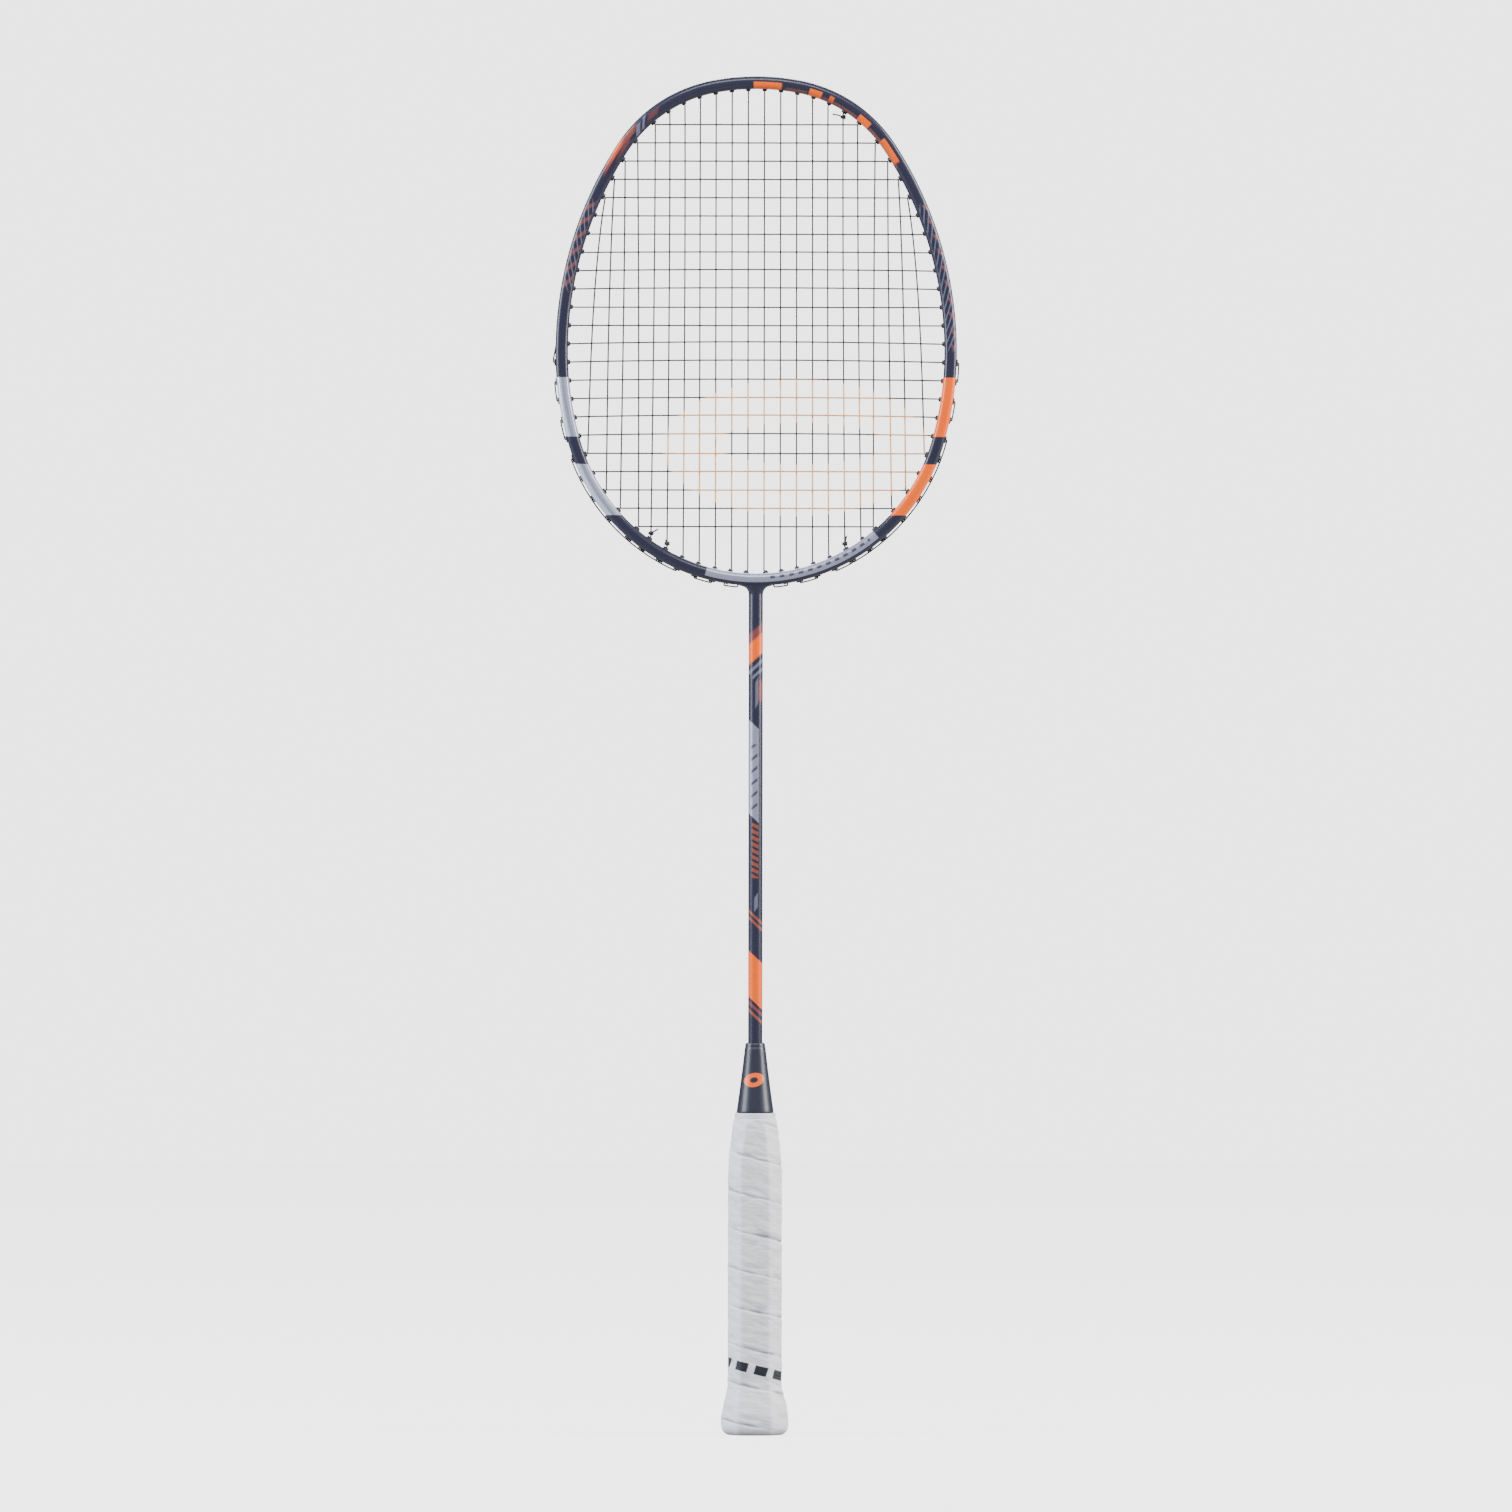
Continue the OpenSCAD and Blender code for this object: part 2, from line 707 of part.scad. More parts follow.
module seam() {
    slope = atan(wrap_pitch / girth);
    low = butt_height + wrap_pitch + 4;
    high = tape_z - grip_taper;
    for (z = [low:wrap_pitch:high])
        for (k = [0:7])
            rotate([0, 0, grip_facets[k][0]])
                translate([grip_facets[k][1], 0, z - wrap_pitch * girth_to(k) / girth])
                    rotate([-slope, 0, 0])
                        rotate([0, 45, 0])
                            cube([0.7, grip_facets[k][2] / cos(slope) + 0.2, 0.7], center = true);
}

module grip_wrap() color([0.93, 0.93, 0.95]) {
    difference() {
        grip_form(0);
        grip_form(wrap_thick);
        translate([0, 0, -1])
            cylinder(h = 1.8, r = 30);
        seam();
    }
}

module finishing_tape() color([0.9, 0.9, 0.95])
    translate([0, 0, tape_z])
        difference() {
            cylinder(h = tape_height, d = tape_d);
            translate([0, 0, -1])
                cylinder(h = tape_height + 2, d = tape_d - 2 * tape_thick);
        }

module cone_cap() color([0.18, 0.18, 0.25]) {
    wall = 1.3;
    collar = 4;
    base = cone_base_d / 2;
    top = cone_top_d / 2;
    bore = shaft_d / 2 + fit;
    tip = 2.4;
    slope_top = top + 0.5;
    translate([0, 0, grip_length])
        rotate_extrude()
            difference() {
                union() {
                    polygon([
                        [bore, 0],
                        [base, 0],
                        [base, 0.6],
                        [slope_top, cone_length - tip],
                        [top + 0.12, cone_length - 0.5],
                        [top - 0.25, cone_length],
                        [bore, cone_length]]);
                    translate([spigot_r - 1.2, -spigot_depth])
                        square([1.2, spigot_depth + 1]);
                }
                polygon([
                    [0, 1.2],
                    [spigot_r - 1.2, 1.2],
                    [base - wall - 0.3, 2.4],
                    [bore + 0.4, cone_length - tip - collar],
                    [0, cone_length - tip - collar]]);
                translate([0, -0.5])
                    square([spigot_r - 1.2, 2]);
            }
}

head_frame();
t_joint();
shaft();
cone_cap();
handle_core();
butt_badge();
grip_wrap();
finishing_tape();
grip_tack();
main_string();
cross_string();
main_knots();
cross_knots();
crown_grommets();
left_grommets();
right_grommets();
throat_grommets();
shared_grommets();
tie_off_grommets();
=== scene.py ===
import math
import bpy
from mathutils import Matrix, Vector, noise


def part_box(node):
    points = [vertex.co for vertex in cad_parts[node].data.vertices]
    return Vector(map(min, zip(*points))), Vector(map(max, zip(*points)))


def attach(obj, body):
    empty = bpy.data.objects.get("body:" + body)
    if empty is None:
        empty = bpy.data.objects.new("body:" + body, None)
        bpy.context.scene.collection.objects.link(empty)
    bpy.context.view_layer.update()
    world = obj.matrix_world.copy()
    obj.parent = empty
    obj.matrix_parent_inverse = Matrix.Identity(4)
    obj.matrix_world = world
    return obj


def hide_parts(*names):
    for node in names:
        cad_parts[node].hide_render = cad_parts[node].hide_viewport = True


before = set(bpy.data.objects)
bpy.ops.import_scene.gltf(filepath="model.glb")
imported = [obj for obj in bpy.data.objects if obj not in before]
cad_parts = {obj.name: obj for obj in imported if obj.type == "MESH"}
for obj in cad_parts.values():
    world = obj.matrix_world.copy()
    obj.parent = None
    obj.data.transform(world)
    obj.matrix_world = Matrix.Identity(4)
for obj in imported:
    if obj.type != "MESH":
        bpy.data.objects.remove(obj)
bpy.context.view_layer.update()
MM = 0.001


def rad(a):
    return math.radians(a)


def sin(a):
    return math.sin(rad(a))


def cos(a):
    return math.cos(rad(a))


# ---- sizes of the racket in millimetres ----
class Size:
    """Half the width, the depth, and the lowest and highest point of a CAD node."""

    def __init__(self, node):
        low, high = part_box(node)
        self.half = (high.x - low.x) / 2 / MM
        self.depth = (high.y - low.y) / MM
        self.foot = low.z / MM
        self.top = high.z / MM


FRAME = Size("head_frame")
CONE = Size("cone_cap")
TAPE = Size("finishing_tape")
BADGE = Size("butt_badge")
HALF = FRAME.half
TOP = FRAME.top
FILLET = 4.4
FOOT = FRAME.foot + FILLET
WIDEST_SHARE = 0.459
LENGTH = TOP - FOOT
WIDTH = 6.2
CORNER = 2.4
GROOVE = 1.5
GAUGE = 0.7
STRING_R = GAUGE / 2
STRAND_R = 0.39  # the strings as drawn, with their coating
STRAND_SIDES = 10
LANE = STRING_R + 0.02
SPIGOT = 6.0  # the part of the cone cap inside the wood
SHAFT_R = Size("shaft").half

# ---- outline of the head: arcs that meet smoothly, by the angle of their normal from the top ----
RISE = LENGTH * (1 - WIDEST_SHARE)
DROP = LENGTH * WIDEST_SHARE
MID = TOP - RISE
CROWN_R = 1.166 * HALF
SHOULDER_R = 0.73 * HALF
THROAT_R = 0.972 * HALF
CROWN_ANGLE = 10.7
SHOULDER_X = (CROWN_R - SHOULDER_R) * sin(CROWN_ANGLE)
SHOULDER_Z = RISE - CROWN_R + (CROWN_R - SHOULDER_R) * cos(CROWN_ANGLE)
SIDE_R = ((SHOULDER_R ** 2 - (SHOULDER_X - HALF) ** 2 - SHOULDER_Z ** 2)
          / (2 * (SHOULDER_X - HALF + SHOULDER_R)))
LOW_R = (HALF ** 2 + DROP ** 2 - 2 * DROP * THROAT_R) / (2 * (HALF - THROAT_R))
SIDE_FROM = 90 - math.degrees(math.atan2(SHOULDER_Z, SHOULDER_X - HALF + SIDE_R))
THROAT_FROM = 180 - math.degrees(math.atan2(LOW_R - HALF, DROP - THROAT_R))


def arc(n):
    if n <= CROWN_ANGLE:
        return 0, RISE - CROWN_R, CROWN_R
    if n <= SIDE_FROM:
        return SHOULDER_X, SHOULDER_Z, SHOULDER_R
    if n <= 90:
        return HALF - SIDE_R, 0, SIDE_R
    if n <= THROAT_FROM:
        return HALF - LOW_R, 0, LOW_R
    return 0, THROAT_R - DROP, THROAT_R


def at(n, out):
    """Point (x, z) at normal angle n, lying "out" beyond the outline. A negative angle is on the left."""
    x, z, r = arc(abs(n))
    side = -1 if n < 0 else 1
    return side * (x + (r + out) * sin(abs(n))), MID + z + (r + out) * cos(n)


def angle_where(test, low=0.0):
    """The normal angle, going down from low, where test turns true."""
    high = 180.0
    for _ in range(50):
        n = (low + high) / 2
        if test(n):
            high = n
        else:
            low = n
    return (low + high) / 2


# ---- string layout ----
MOUTH = -WIDTH - 1.1 - 0.4
MAINS = 22
CROSSES = 23
TOP_GAP = 24
BOTTOM_GAP = 29.4
CROWN_GATHER = 0.11
THROAT_GATHER = 0.01
MAIN_SPAN_SHARE = 0.8475
MAIN_PITCH = 2 * HALF * MAIN_SPAN_SHARE / (MAINS - 1)
CROSS_PITCH = (LENGTH - TOP_GAP - BOTTOM_GAP) / (CROSSES - 1)
TIE_MAIN = 5
TIE_CROSS = 6
LAST = MAINS // 2 - 1
PLAIN_D, PLAIN_BORE = 2.3, 1.6
WIDE_D, WIDE_BORE = 2.9, 2.2
RIM = 0.6
HEAD_THICK = 0.6
RUN_OUT = HEAD_THICK + STRING_R + 0.1
TAIL_Y = -LANE - GAUGE - 0.06
TIE_Y = (TAIL_Y - LANE) / 2


def apart(a, b):
    return abs(a - b) * math.pi / 180 * arc((a + b) / 2)[2]


cross_level = [TOP - TOP_GAP - j * CROSS_PITCH for j in range(CROSSES)]
cross_hole = [angle_where(lambda n, z=z: at(n, MOUTH)[1] < z) for z in cross_level]


def shared_with(n):
    for c in cross_hole:
        if apart(c, n) < WIDE_D + 2 * RIM + 0.1:
            return c
    return n


def main_x(i, gather):
    return (i + 0.5) * MAIN_PITCH * (1 - gather * ((2 * i + 1) / MAINS) ** 2)


main_top = [shared_with(angle_where(lambda n, x=main_x(i, CROWN_GATHER): at(n, MOUTH)[0] > x))
            for i in range(LAST + 1)]
main_low = [shared_with(angle_where(lambda n, x=main_x(i, THROAT_GATHER): at(n, MOUTH)[0] < x, 95.0))
            for i in range(LAST + 1)]
GROOVE_END = cross_hole[12]
HEAD_SPAN = math.degrees((WIDE_D / 2 + RIM) / SIDE_R)
GROOVE_STOP = GROOVE_END + HEAD_SPAN
RAMP_END = cross_hole[13] - HEAD_SPAN


def lean_of(n):
    return 30 if n == main_low[0] else 18 if n == main_low[1] else 0


class Hole:
    """A string hole: normal angle, lean, barrel and bore diameters, and depth of its axis."""

    def __init__(self, n, wide=False, y=0.0, side=1):
        self.n = n
        self.lean = lean_of(n)
        self.d, self.bore = (WIDE_D, WIDE_BORE) if wide else (PLAIN_D, PLAIN_BORE)
        self.y = y
        self.side = side
        self.seat = -GROOVE if n < GROOVE_END + 0.01 else 0.0
        self.head = self.d / 2 + RIM
        x, z = at(n, MOUTH)
        self.mouth = (side * x, z)
        aim = n - self.lean
        self.axis = (side * sin(aim), cos(aim))
        self.deep = self.reach(self.seat) - self.head * math.tan(rad(self.lean))
        self.exit = self.along(self.reach(self.seat + RUN_OUT))

    def reach(self, out):
        r = arc(self.n)[2]
        c = (r + MOUTH) * cos(self.lean)
        return math.sqrt(c * c - (r + MOUTH) ** 2 + (r + out) ** 2) - c

    def along(self, t):
        return self.mouth[0] + t * self.axis[0], self.mouth[1] + t * self.axis[1]

    def lane_out(self):
        return self.seat + RUN_OUT

    def exit_angle(self):
        if not self.lean:
            return self.n
        x, z, r = arc(self.n)
        return math.degrees(math.atan2(abs(self.exit[0]) - x, self.exit[1] - MID - z))


def between(a, b):
    """Points between two exits on the same side, so that the string follows the frame."""
    n, m = a.exit_angle(), b.exit_angle()
    if a.lane_out() < b.lane_out():
        x, z = at(m - HEAD_SPAN, b.lane_out())
        return [(a.side * x, z)]
    count = max(1, math.ceil(apart(n, m) / 6))
    points = []
    for i in range(1, count):
        x, z = at(n + (m - n) * i / count, a.lane_out())
        points.append((a.side * x, z))
    return points


# ---- mesh building ----
def placed(name, data):
    """A new object in the scene."""
    ob = bpy.data.objects.new(name, data)
    bpy.context.scene.collection.objects.link(ob)
    return ob


class Shape:
    def __init__(self):
        self.verts = []
        self.faces = []
        self.values = {}

    def add(self, verts, faces, **values):
        base = len(self.verts)
        self.verts += [tuple(c * MM for c in v) for v in verts]
        self.faces += [tuple(base + k for k in f) for f in faces]
        for key in set(values) | set(self.values):
            column = self.values.setdefault(key, [0.0] * base)
            column += values.get(key, [0.0] * len(verts))

    def build(self, name, material, slot, *nodes):
        mesh = bpy.data.meshes.new(name)
        mesh.from_pydata(self.verts, [], self.faces)
        mesh.materials.append(material)
        for key, column in self.values.items():
            mesh.attributes.new(key, "FLOAT", "POINT").data.foreach_set("value", column)
        mesh.polygons.foreach_set("use_smooth", [True] * len(mesh.polygons))
        mesh.update()
        piece = placed(name, mesh)
        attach(piece, "root")
        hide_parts(*nodes)


def loft(rings, closed=False, caps=(False, False)):
    """Faces between rings of equal count, each ring closed on itself."""
    n = len(rings[0])
    verts = [p for ring in rings for p in ring]
    faces = []
    steps = len(rings) if closed else len(rings) - 1
    for i in range(steps):
        a, b = i * n, (i + 1) % len(rings) * n
        for k in range(n):
            m = (k + 1) % n
            faces.append((a + k, a + m, b + m, b + k))
    if caps[0]:
        faces.append(tuple(range(n - 1, -1, -1)))
    if caps[1]:
        faces.append(tuple(range(len(verts) - n, len(verts))))
    return verts, faces


def circle(r, z, count):
    angles = [2 * math.pi * k / count for k in range(count)]
    return [(r * math.cos(a), r * math.sin(a), z) for a in angles]


def lathe(profile, count=96):
    """Rings of a profile of (radius, height)."""
    return [circle(r, z, count) for r, z in profile]


def rounded_path(points, radius):
    """The path with each corner turned into a small curve."""
    path = [Vector(points[0])]
    for a, b, c in zip(points, points[1:], points[2:]):
        a, b, c = Vector(a), Vector(b), Vector(c)
        u, v = (a - b), (c - b)
        if u.length < 1e-6 or v.length < 1e-6:
            continue
        turn = math.pi - u.angle(v)
        if turn < 0.12:
            path.append(b)
            continue
        cut = min(radius * math.tan(min(turn, 2.6) / 2), u.length * 0.45, v.length * 0.45)
        p, q = b + u.normalized() * cut, b + v.normalized() * cut
        for k in range(6):
            t = k / 5
            path.append(p * (1 - t) ** 2 + b * 2 * t * (1 - t) + q * t ** 2)
    path.append(Vector(points[-1]))
    clean = [path[0]]
    for p in path[1:]:
        if (p - clean[-1]).length > 0.02:
            clean.append(p)
    return clean


def strand(shape, path):
    """A string along a path, with its running length and turn as values."""
    count = len(path)
    tangent = []
    for i in range(count):
        d = path[min(i + 1, count - 1)] - path[max(i - 1, 0)]
        tangent.append(d.normalized())
    side = tangent[0].orthogonal().normalized()
    rings, run_all, turn_all = [], [], []
    run = 0.0
    for i, p in enumerate(path):
        if i:
            run += (p - path[i - 1]).length
        side = (side - tangent[i] * side.dot(tangent[i])).normalized()
        other = tangent[i].cross(side)
        ring = []
        for k, (c, s, _) in enumerate(circle(STRAND_R, 0, STRAND_SIDES)):
            ring.append(p + side * c + other * s)
            run_all.append(run)
            turn_all.append(k / STRAND_SIDES)
        rings.append(ring)
    verts, faces = loft(rings, caps=(True, True))
    shape.add(verts, faces, run=run_all, turn=turn_all)


# ---- materials ----
FACTOR, FIRST, SECOND, RESULT = 0, 6, 7, 2  # sockets of a mix node that blends colours


class Val:
    """A number in a shader, with ordinary arithmetic."""

    def __init__(self, tree, socket):
        self.tree = tree
        self.socket = socket

    def op(self, kind, *others, clamp=False, first=None):
        node = self.tree.nodes.new("ShaderNodeMath")
        node.operation = kind
        node.use_clamp = clamp
        terms = ((first,) if first is not None else ()) + (self,) + others
        for k, x in enumerate(terms):
            if isinstance(x, Val):
                self.tree.links.new(x.socket, node.inputs[k])
            else:
                node.inputs[k].default_value = x
        return Val(self.tree, node.outputs[0])

    def __add__(self, x):
        return self.op("ADD", x)

    def __sub__(self, x):
        return self.op("SUBTRACT", x)

    def __rsub__(self, x):
        return self.op("SUBTRACT", first=x)

    def __mul__(self, x):
        return self.op("MULTIPLY", x)

    def __truediv__(self, x):
        return self.op("DIVIDE", x)

    def min(self, x):
        return self.op("MINIMUM", x)

    def fract(self):
        return self.op("FRACT")

    def sine(self):
        return self.op("SINE")

    def power(self, x):
        return self.op("POWER", x)

    def above(self, x, soft=0.08):
        """0 below x, 1 above it, over a width of 2 soft."""
        return self.op("MULTIPLY_ADD", 0.5 / soft, 0.5 - x * 0.5 / soft, clamp=True)

    def below(self, x, soft=0.08):
        return self.op("MULTIPLY_ADD", -0.5 / soft, 0.5 + x * 0.5 / soft, clamp=True)

    def within(self, low, high, soft=0.08):
        return self.above(low, soft) * self.below(high, soft)


class Finish:
    """A procedural material built up on one Principled shader."""

    def __init__(self, name, base, roughness, **plain):
        self.material = bpy.data.materials.new(name)
        self.material.use_nodes = True
        self.tree = self.material.node_tree
        self.shader = self.tree.nodes["Principled BSDF"]
        self.tint = None
        self.base = base
        self.shader.inputs["Base Color"].default_value = base
        self.shader.inputs["Roughness"].default_value = roughness
        for key, value in plain.items():
            self.shader.inputs[key.replace("_", " ")].default_value = value
        place = self.tree.nodes.new("ShaderNodeTexCoord")
        scale = self.tree.nodes.new("ShaderNodeVectorMath")
        scale.operation = "SCALE"
        scale.inputs["Scale"].default_value = 1000
        self.tree.links.new(place.outputs["Object"], scale.inputs[0])
        self.place = scale.outputs[0]
        split = self.tree.nodes.new("ShaderNodeSeparateXYZ")
        self.tree.links.new(self.place, split.inputs[0])
        self.x, self.y, self.z = (Val(self.tree, split.outputs[k]) for k in range(3))
        self.height = None

    def value(self, name):
        node = self.tree.nodes.new("ShaderNodeAttribute")
        node.attribute_name = name
        return Val(self.tree, node.outputs["Fac"])

    def normal_y(self):
        node = self.tree.nodes.new("ShaderNodeNewGeometry")
        split = self.tree.nodes.new("ShaderNodeSeparateXYZ")
        self.tree.links.new(node.outputs["Normal"], split.inputs[0])
        return Val(self.tree, split.outputs[1])

    def noise(self, scale, detail=3.0, rough=0.55, vector=None):
        """Cloudy noise, scale in cells per millimetre."""
        node = self.tree.nodes.new("ShaderNodeTexNoise")
        node.inputs["Scale"].default_value = scale
        node.inputs["Detail"].default_value = detail
        node.inputs["Roughness"].default_value = rough
        self.tree.links.new(vector or self.place, node.inputs["Vector"])
        return Val(self.tree, node.outputs["Fac"])

    def cells(self, scale):
        node = self.tree.nodes.new("ShaderNodeTexVoronoi")
        node.inputs["Scale"].default_value = scale
        self.tree.links.new(self.place, node.inputs["Vector"])
        return Val(self.tree, node.outputs["Distance"])

    def joined(self, x, y, z):
        node = self.tree.nodes.new("ShaderNodeCombineXYZ")
        for k, v in enumerate((x, y, z)):
            if isinstance(v, Val):
                self.tree.links.new(v.socket, node.inputs[k])
            else:
                node.inputs[k].default_value = v
        return node.outputs[0]

    def mixed(self, blend):
        """A mix of what is there with a second colour."""
        node = self.tree.nodes.new("ShaderNodeMix")
        node.data_type = "RGBA"
        node.blend_type = blend
        if self.tint is None:
            node.inputs[FIRST].default_value = self.base
        else:
            self.tree.links.new(self.tint, node.inputs[FIRST])
        self.tint = node.outputs[RESULT]
        return node

    def paint(self, colour, mask):
        """Lays a colour over what is there, where mask is 1."""
        node = self.mixed("MIX")
        node.inputs[SECOND].default_value = colour
        self.tree.links.new(mask.socket, node.inputs[FACTOR])

    def shade(self, low, high, mask):
        """Multiplies the colour by low where mask is 0 and high where it is 1."""
        node = self.mixed("MULTIPLY")
        node.inputs[FACTOR].default_value = 1
        grey = mask.op("MULTIPLY_ADD", high - low, low)
        self.tree.links.new(grey.socket, node.inputs[SECOND])

    def rough(self, low, span, *cloud):
        """Roughness that rises by span from low with a noise."""
        value = self.noise(*cloud).op("MULTIPLY_ADD", span, low)
        self.tree.links.new(value.socket, self.shader.inputs["Roughness"])

    def metal(self, value):
        self.tree.links.new(value.socket, self.shader.inputs["Metallic"])

    def bump(self, height, distance_mm, strength=1.0):
        node = self.tree.nodes.new("ShaderNodeBump")
        node.inputs["Distance"].default_value = distance_mm * MM
        node.inputs["Strength"].default_value = strength
        self.tree.links.new(height.socket, node.inputs["Height"])
        if self.height is not None:
            self.tree.links.new(self.height, node.inputs["Normal"])
        self.height = node.outputs[0]

    def done(self):
        if self.tint is not None:
            self.tree.links.new(self.tint, self.shader.inputs["Base Color"])
        if self.height is not None:
            self.tree.links.new(self.height, self.shader.inputs["Normal"])
        return self.material


NAVY = (0.021, 0.021, 0.042, 1)
ORANGE = (0.86, 0.115, 0.002, 1)
RED = (0.20, 0.05, 0.05, 1)
BROWN = (0.26, 0.07, 0.04, 1)
SILVER = (0.30, 0.31, 0.42, 1)
PAINTED_SILVER_HIGHLIGHT = (0.52, 0.55, 0.68, 1)
LILAC = (0.12, 0.125, 0.19, 1)


def lacquer(f, rough):
    """Fine flake, faint unevenness and handling marks in a lacquered surface."""
    f.shade(0.86, 1.12, f.cells(9.0))
    f.shade(0.92, 1.08, f.noise(0.12, 2.0))
    f.rough(rough - 0.08, 0.16, 2.4, 4.0, 0.7)
    f.bump(f.noise(1.1, 2.0), 0.012, 0.5)


# ---- frame ----
def frame_finish():
    f = Finish("frame_paint", NAVY, 0.3, Coat_Weight=0.2, Coat_Roughness=0.2, Specular_IOR_Level=0.3)
    n = f.value("turn")
    u = f.value("across")
    right = f.x.above(0, 0.02)
    left = f.x.below(0, 0.02)

    def streak(side, a, b, low, high, slant, colour, strength=1.0, soft=0.25):
        """A slanted dash from normal angle a to b, between two lines across the frame."""
        q = n + u * slant
        mask = q.within(a, b, soft) * u.within(low, high, 0.12) * side
        if strength != 1.0:
            mask = mask * strength
        f.paint(colour, mask)

    # faded dashes on the upper left
    streak(left, 33.0, 38.2, -4.4, -2.0, 0.9, RED, 0.5, 0.8)
    streak(left, 40.0, 41.4, -5.4, -1.0, 0.9, LILAC)
    streak(left, 42.6, 45.0, -5.6, -1.8, 0.9, LILAC)
    streak(left, 46.0, 52.2, -3.4, -0.6, 0.7, BROWN, 0.75, 1.6)
    streak(left, 50.0, 55.6, -4.6, -2.2, 0.7, RED, 0.6, 1.2)
    streak(left, 53.6, 59.4, -2.6, 0.4, 0.6, ORANGE, 0.55, 1.8)
    line = (n * 0.58 + u * 0.42).fract()
    other = (n * 0.41 - u * 0.16 + 0.3).fract()
    zone = left * n.within(66.4, 80.4, 0.6) * u.within(-5.0, -0.5, 0.2)
    f.paint(BROWN, zone * other.within(0.1, 0.44, 0.05) * 0.6)
    f.paint(LILAC, zone * line.within(0.12, 0.38, 0.04) * u.below(-1.2, 0.2) * 0.9)
    # faded dashes down the right side
    zone = right * n.within(67.0, 89.6, 0.6) * u.within(-5.0, -0.3, 0.2)
    f.paint(RED, zone * other.within(0.08, 0.36, 0.05) * u.above(-2.9, 0.3) * 0.8)
    f.paint(LILAC, zone * line.within(0.1, 0.4, 0.04) * 0.85)
    # dashes along the inner edge of the crown
    inner = u.below(-2.9, 0.12)
    crown_dashes = ((-0.7, 6.4, 1.0), (15.4, 20.8, 1.0), (24.2, 26.2, 0.7), (38.6, 44.6, 1.0),
                    (52.4, 59.4, 1.0))
    for a, b, w in crown_dashes:
        mask = n.within(a, b, 0.2) * inner * (right if a > 0 else f.x.above(-1.4, 0.1)) * w
        f.paint(ORANGE, mask)
    edge = n.within(7.5, 60.0, 0.4) * u.below(-4.9, 0.25) * right * 0.55
    f.paint(BROWN, edge * (1 - n.within(14.6, 21.4, 0.3)) * (1 - n.within(38.0, 45.2, 0.3)))
    # blocks of colour on the sides
    upper_block = f.z.within(495.8, 525.2, 0.15)
    lower_block = f.z.within(456.8, 482.1, 0.15) * n.below(136, 1)
    block = upper_block + lower_block
    f.paint(ORANGE, block * right)
    f.paint(SILVER, block * left)
    # painted highlight: a paler band along the outer part of the silver blocks and a fainter pale line near
    # their inner edge
    f.paint(PAINTED_SILVER_HIGHLIGHT, block * left * u.above(-2.3, 0.15))
    f.paint(PAINTED_SILVER_HIGHLIGHT, block * left * u.within(-4.6, -3.9, 0.1) * 0.6)
    # silver inlay at the throat, inside a dark line, with short dark dashes
    inlay = (right * n.above(140.2, 0.2) + left * n.above(164.6, 0.2)) * u.below(-1.75, 0.12)
    f.paint(SILVER, inlay)
    step = (n * 0.34).fract()
    dash = step.within(0.2, 0.72, 0.04) * u.within(-4.75, -3.3, 0.1) * right * n.within(142.5, 176.5, 0.2)
    f.paint(NAVY, dash * 0.8)
    lacquer(f, 0.34)
    silver_part = block * left + inlay
    f.metal(silver_part.min(1.0) * 0.35)
    return f.done()


def frame_section(groove):
    """Half of the section from the middle of the outer face to the middle of the inner one."""
    d = -GROOVE * groove
    half_depth = FRAME.depth / 2
    flat = half_depth - CORNER
    points = [(d, 0), (d, 0.9), (d, 1.75), (d * 0.93, 2.05), (d * 0.6, 2.2), (d * 0.12, 2.26),
              (d * 0.02, 2.36), (0, 2.55), (0, flat)]
    for k in range(1, 8):
        a = 90 * k / 8
        points.append((-CORNER + CORNER * cos(a), flat + CORNER * sin(a)))
    points += [(-CORNER, half_depth), (-WIDTH / 2, half_depth), (-WIDTH + CORNER, half_depth)]
    for k in range(1, 8):
        a = 90 + 90 * k / 8
        points.append((-WIDTH + CORNER + CORNER * cos(a), flat + CORNER * sin(a)))
    points += [(-WIDTH, flat), (-WIDTH, 1.4), (-WIDTH, 0)]
    return points


def ring_section(groove):
    half = frame_section(groove)
    return half + [(u, -v) for u, v in reversed(half[1:-1])]


def build_frame():
    shape = Shape()
    steps = 900
    rings, turns, across_all = [], [], []
    for k in range(steps):
        n = -180 + 360 * (k + 0.5) / steps
        a = abs(n)
        t = min(1.0, max(0.0, (a - GROOVE_STOP) / (RAMP_END - GROOVE_STOP)))
        section = ring_section(1 - t)
        nominal = ring_section(0)
        ring = []
        for (u, v), (w, _) in zip(section, nominal):
            x, z = at(n, u)
            ring.append((x, v, z))
            turns.append(a)
            across_all.append(w)
        rings.append(ring)
    verts, faces = loft(rings, closed=True)
    shape.add(verts, [f[::-1] for f in faces], turn=turns, across=across_all)
    # the throat, which spreads from the shaft into the head
    rings = []
    levels = [k / 12 for k in range(13)] + [1.2, 1.38]
    base = FOOT - FILLET
    for t in levels:
        h = min(t, 1.0) * FILLET
        wide = SHAFT_R + FILLET - math.sqrt(max(0.0, FILLET ** 2 - h ** 2))
        deep = min(wide, 4.6)
        ring = []
        for k in range(64):
            a = 2 * math.pi * k / 64
            c, s = math.cos(a), math.sin(a)
            e = 1.0 if t < 0.3 else max(0.72, 1.0 - (t - 0.3) * 0.4)
            ring.append((wide * math.copysign(abs(c) ** e, c), deep * math.copysign(abs(s) ** e, s),
                         base + t * FILLET))
        rings.append(ring)
    verts, faces = loft(rings)
    shape.add(verts, faces, turn=[120.0] * len(verts), across=[0.0] * len(verts))
    shape.build("head_frame_painted", frame_finish(), "frame_paint", "head_frame")


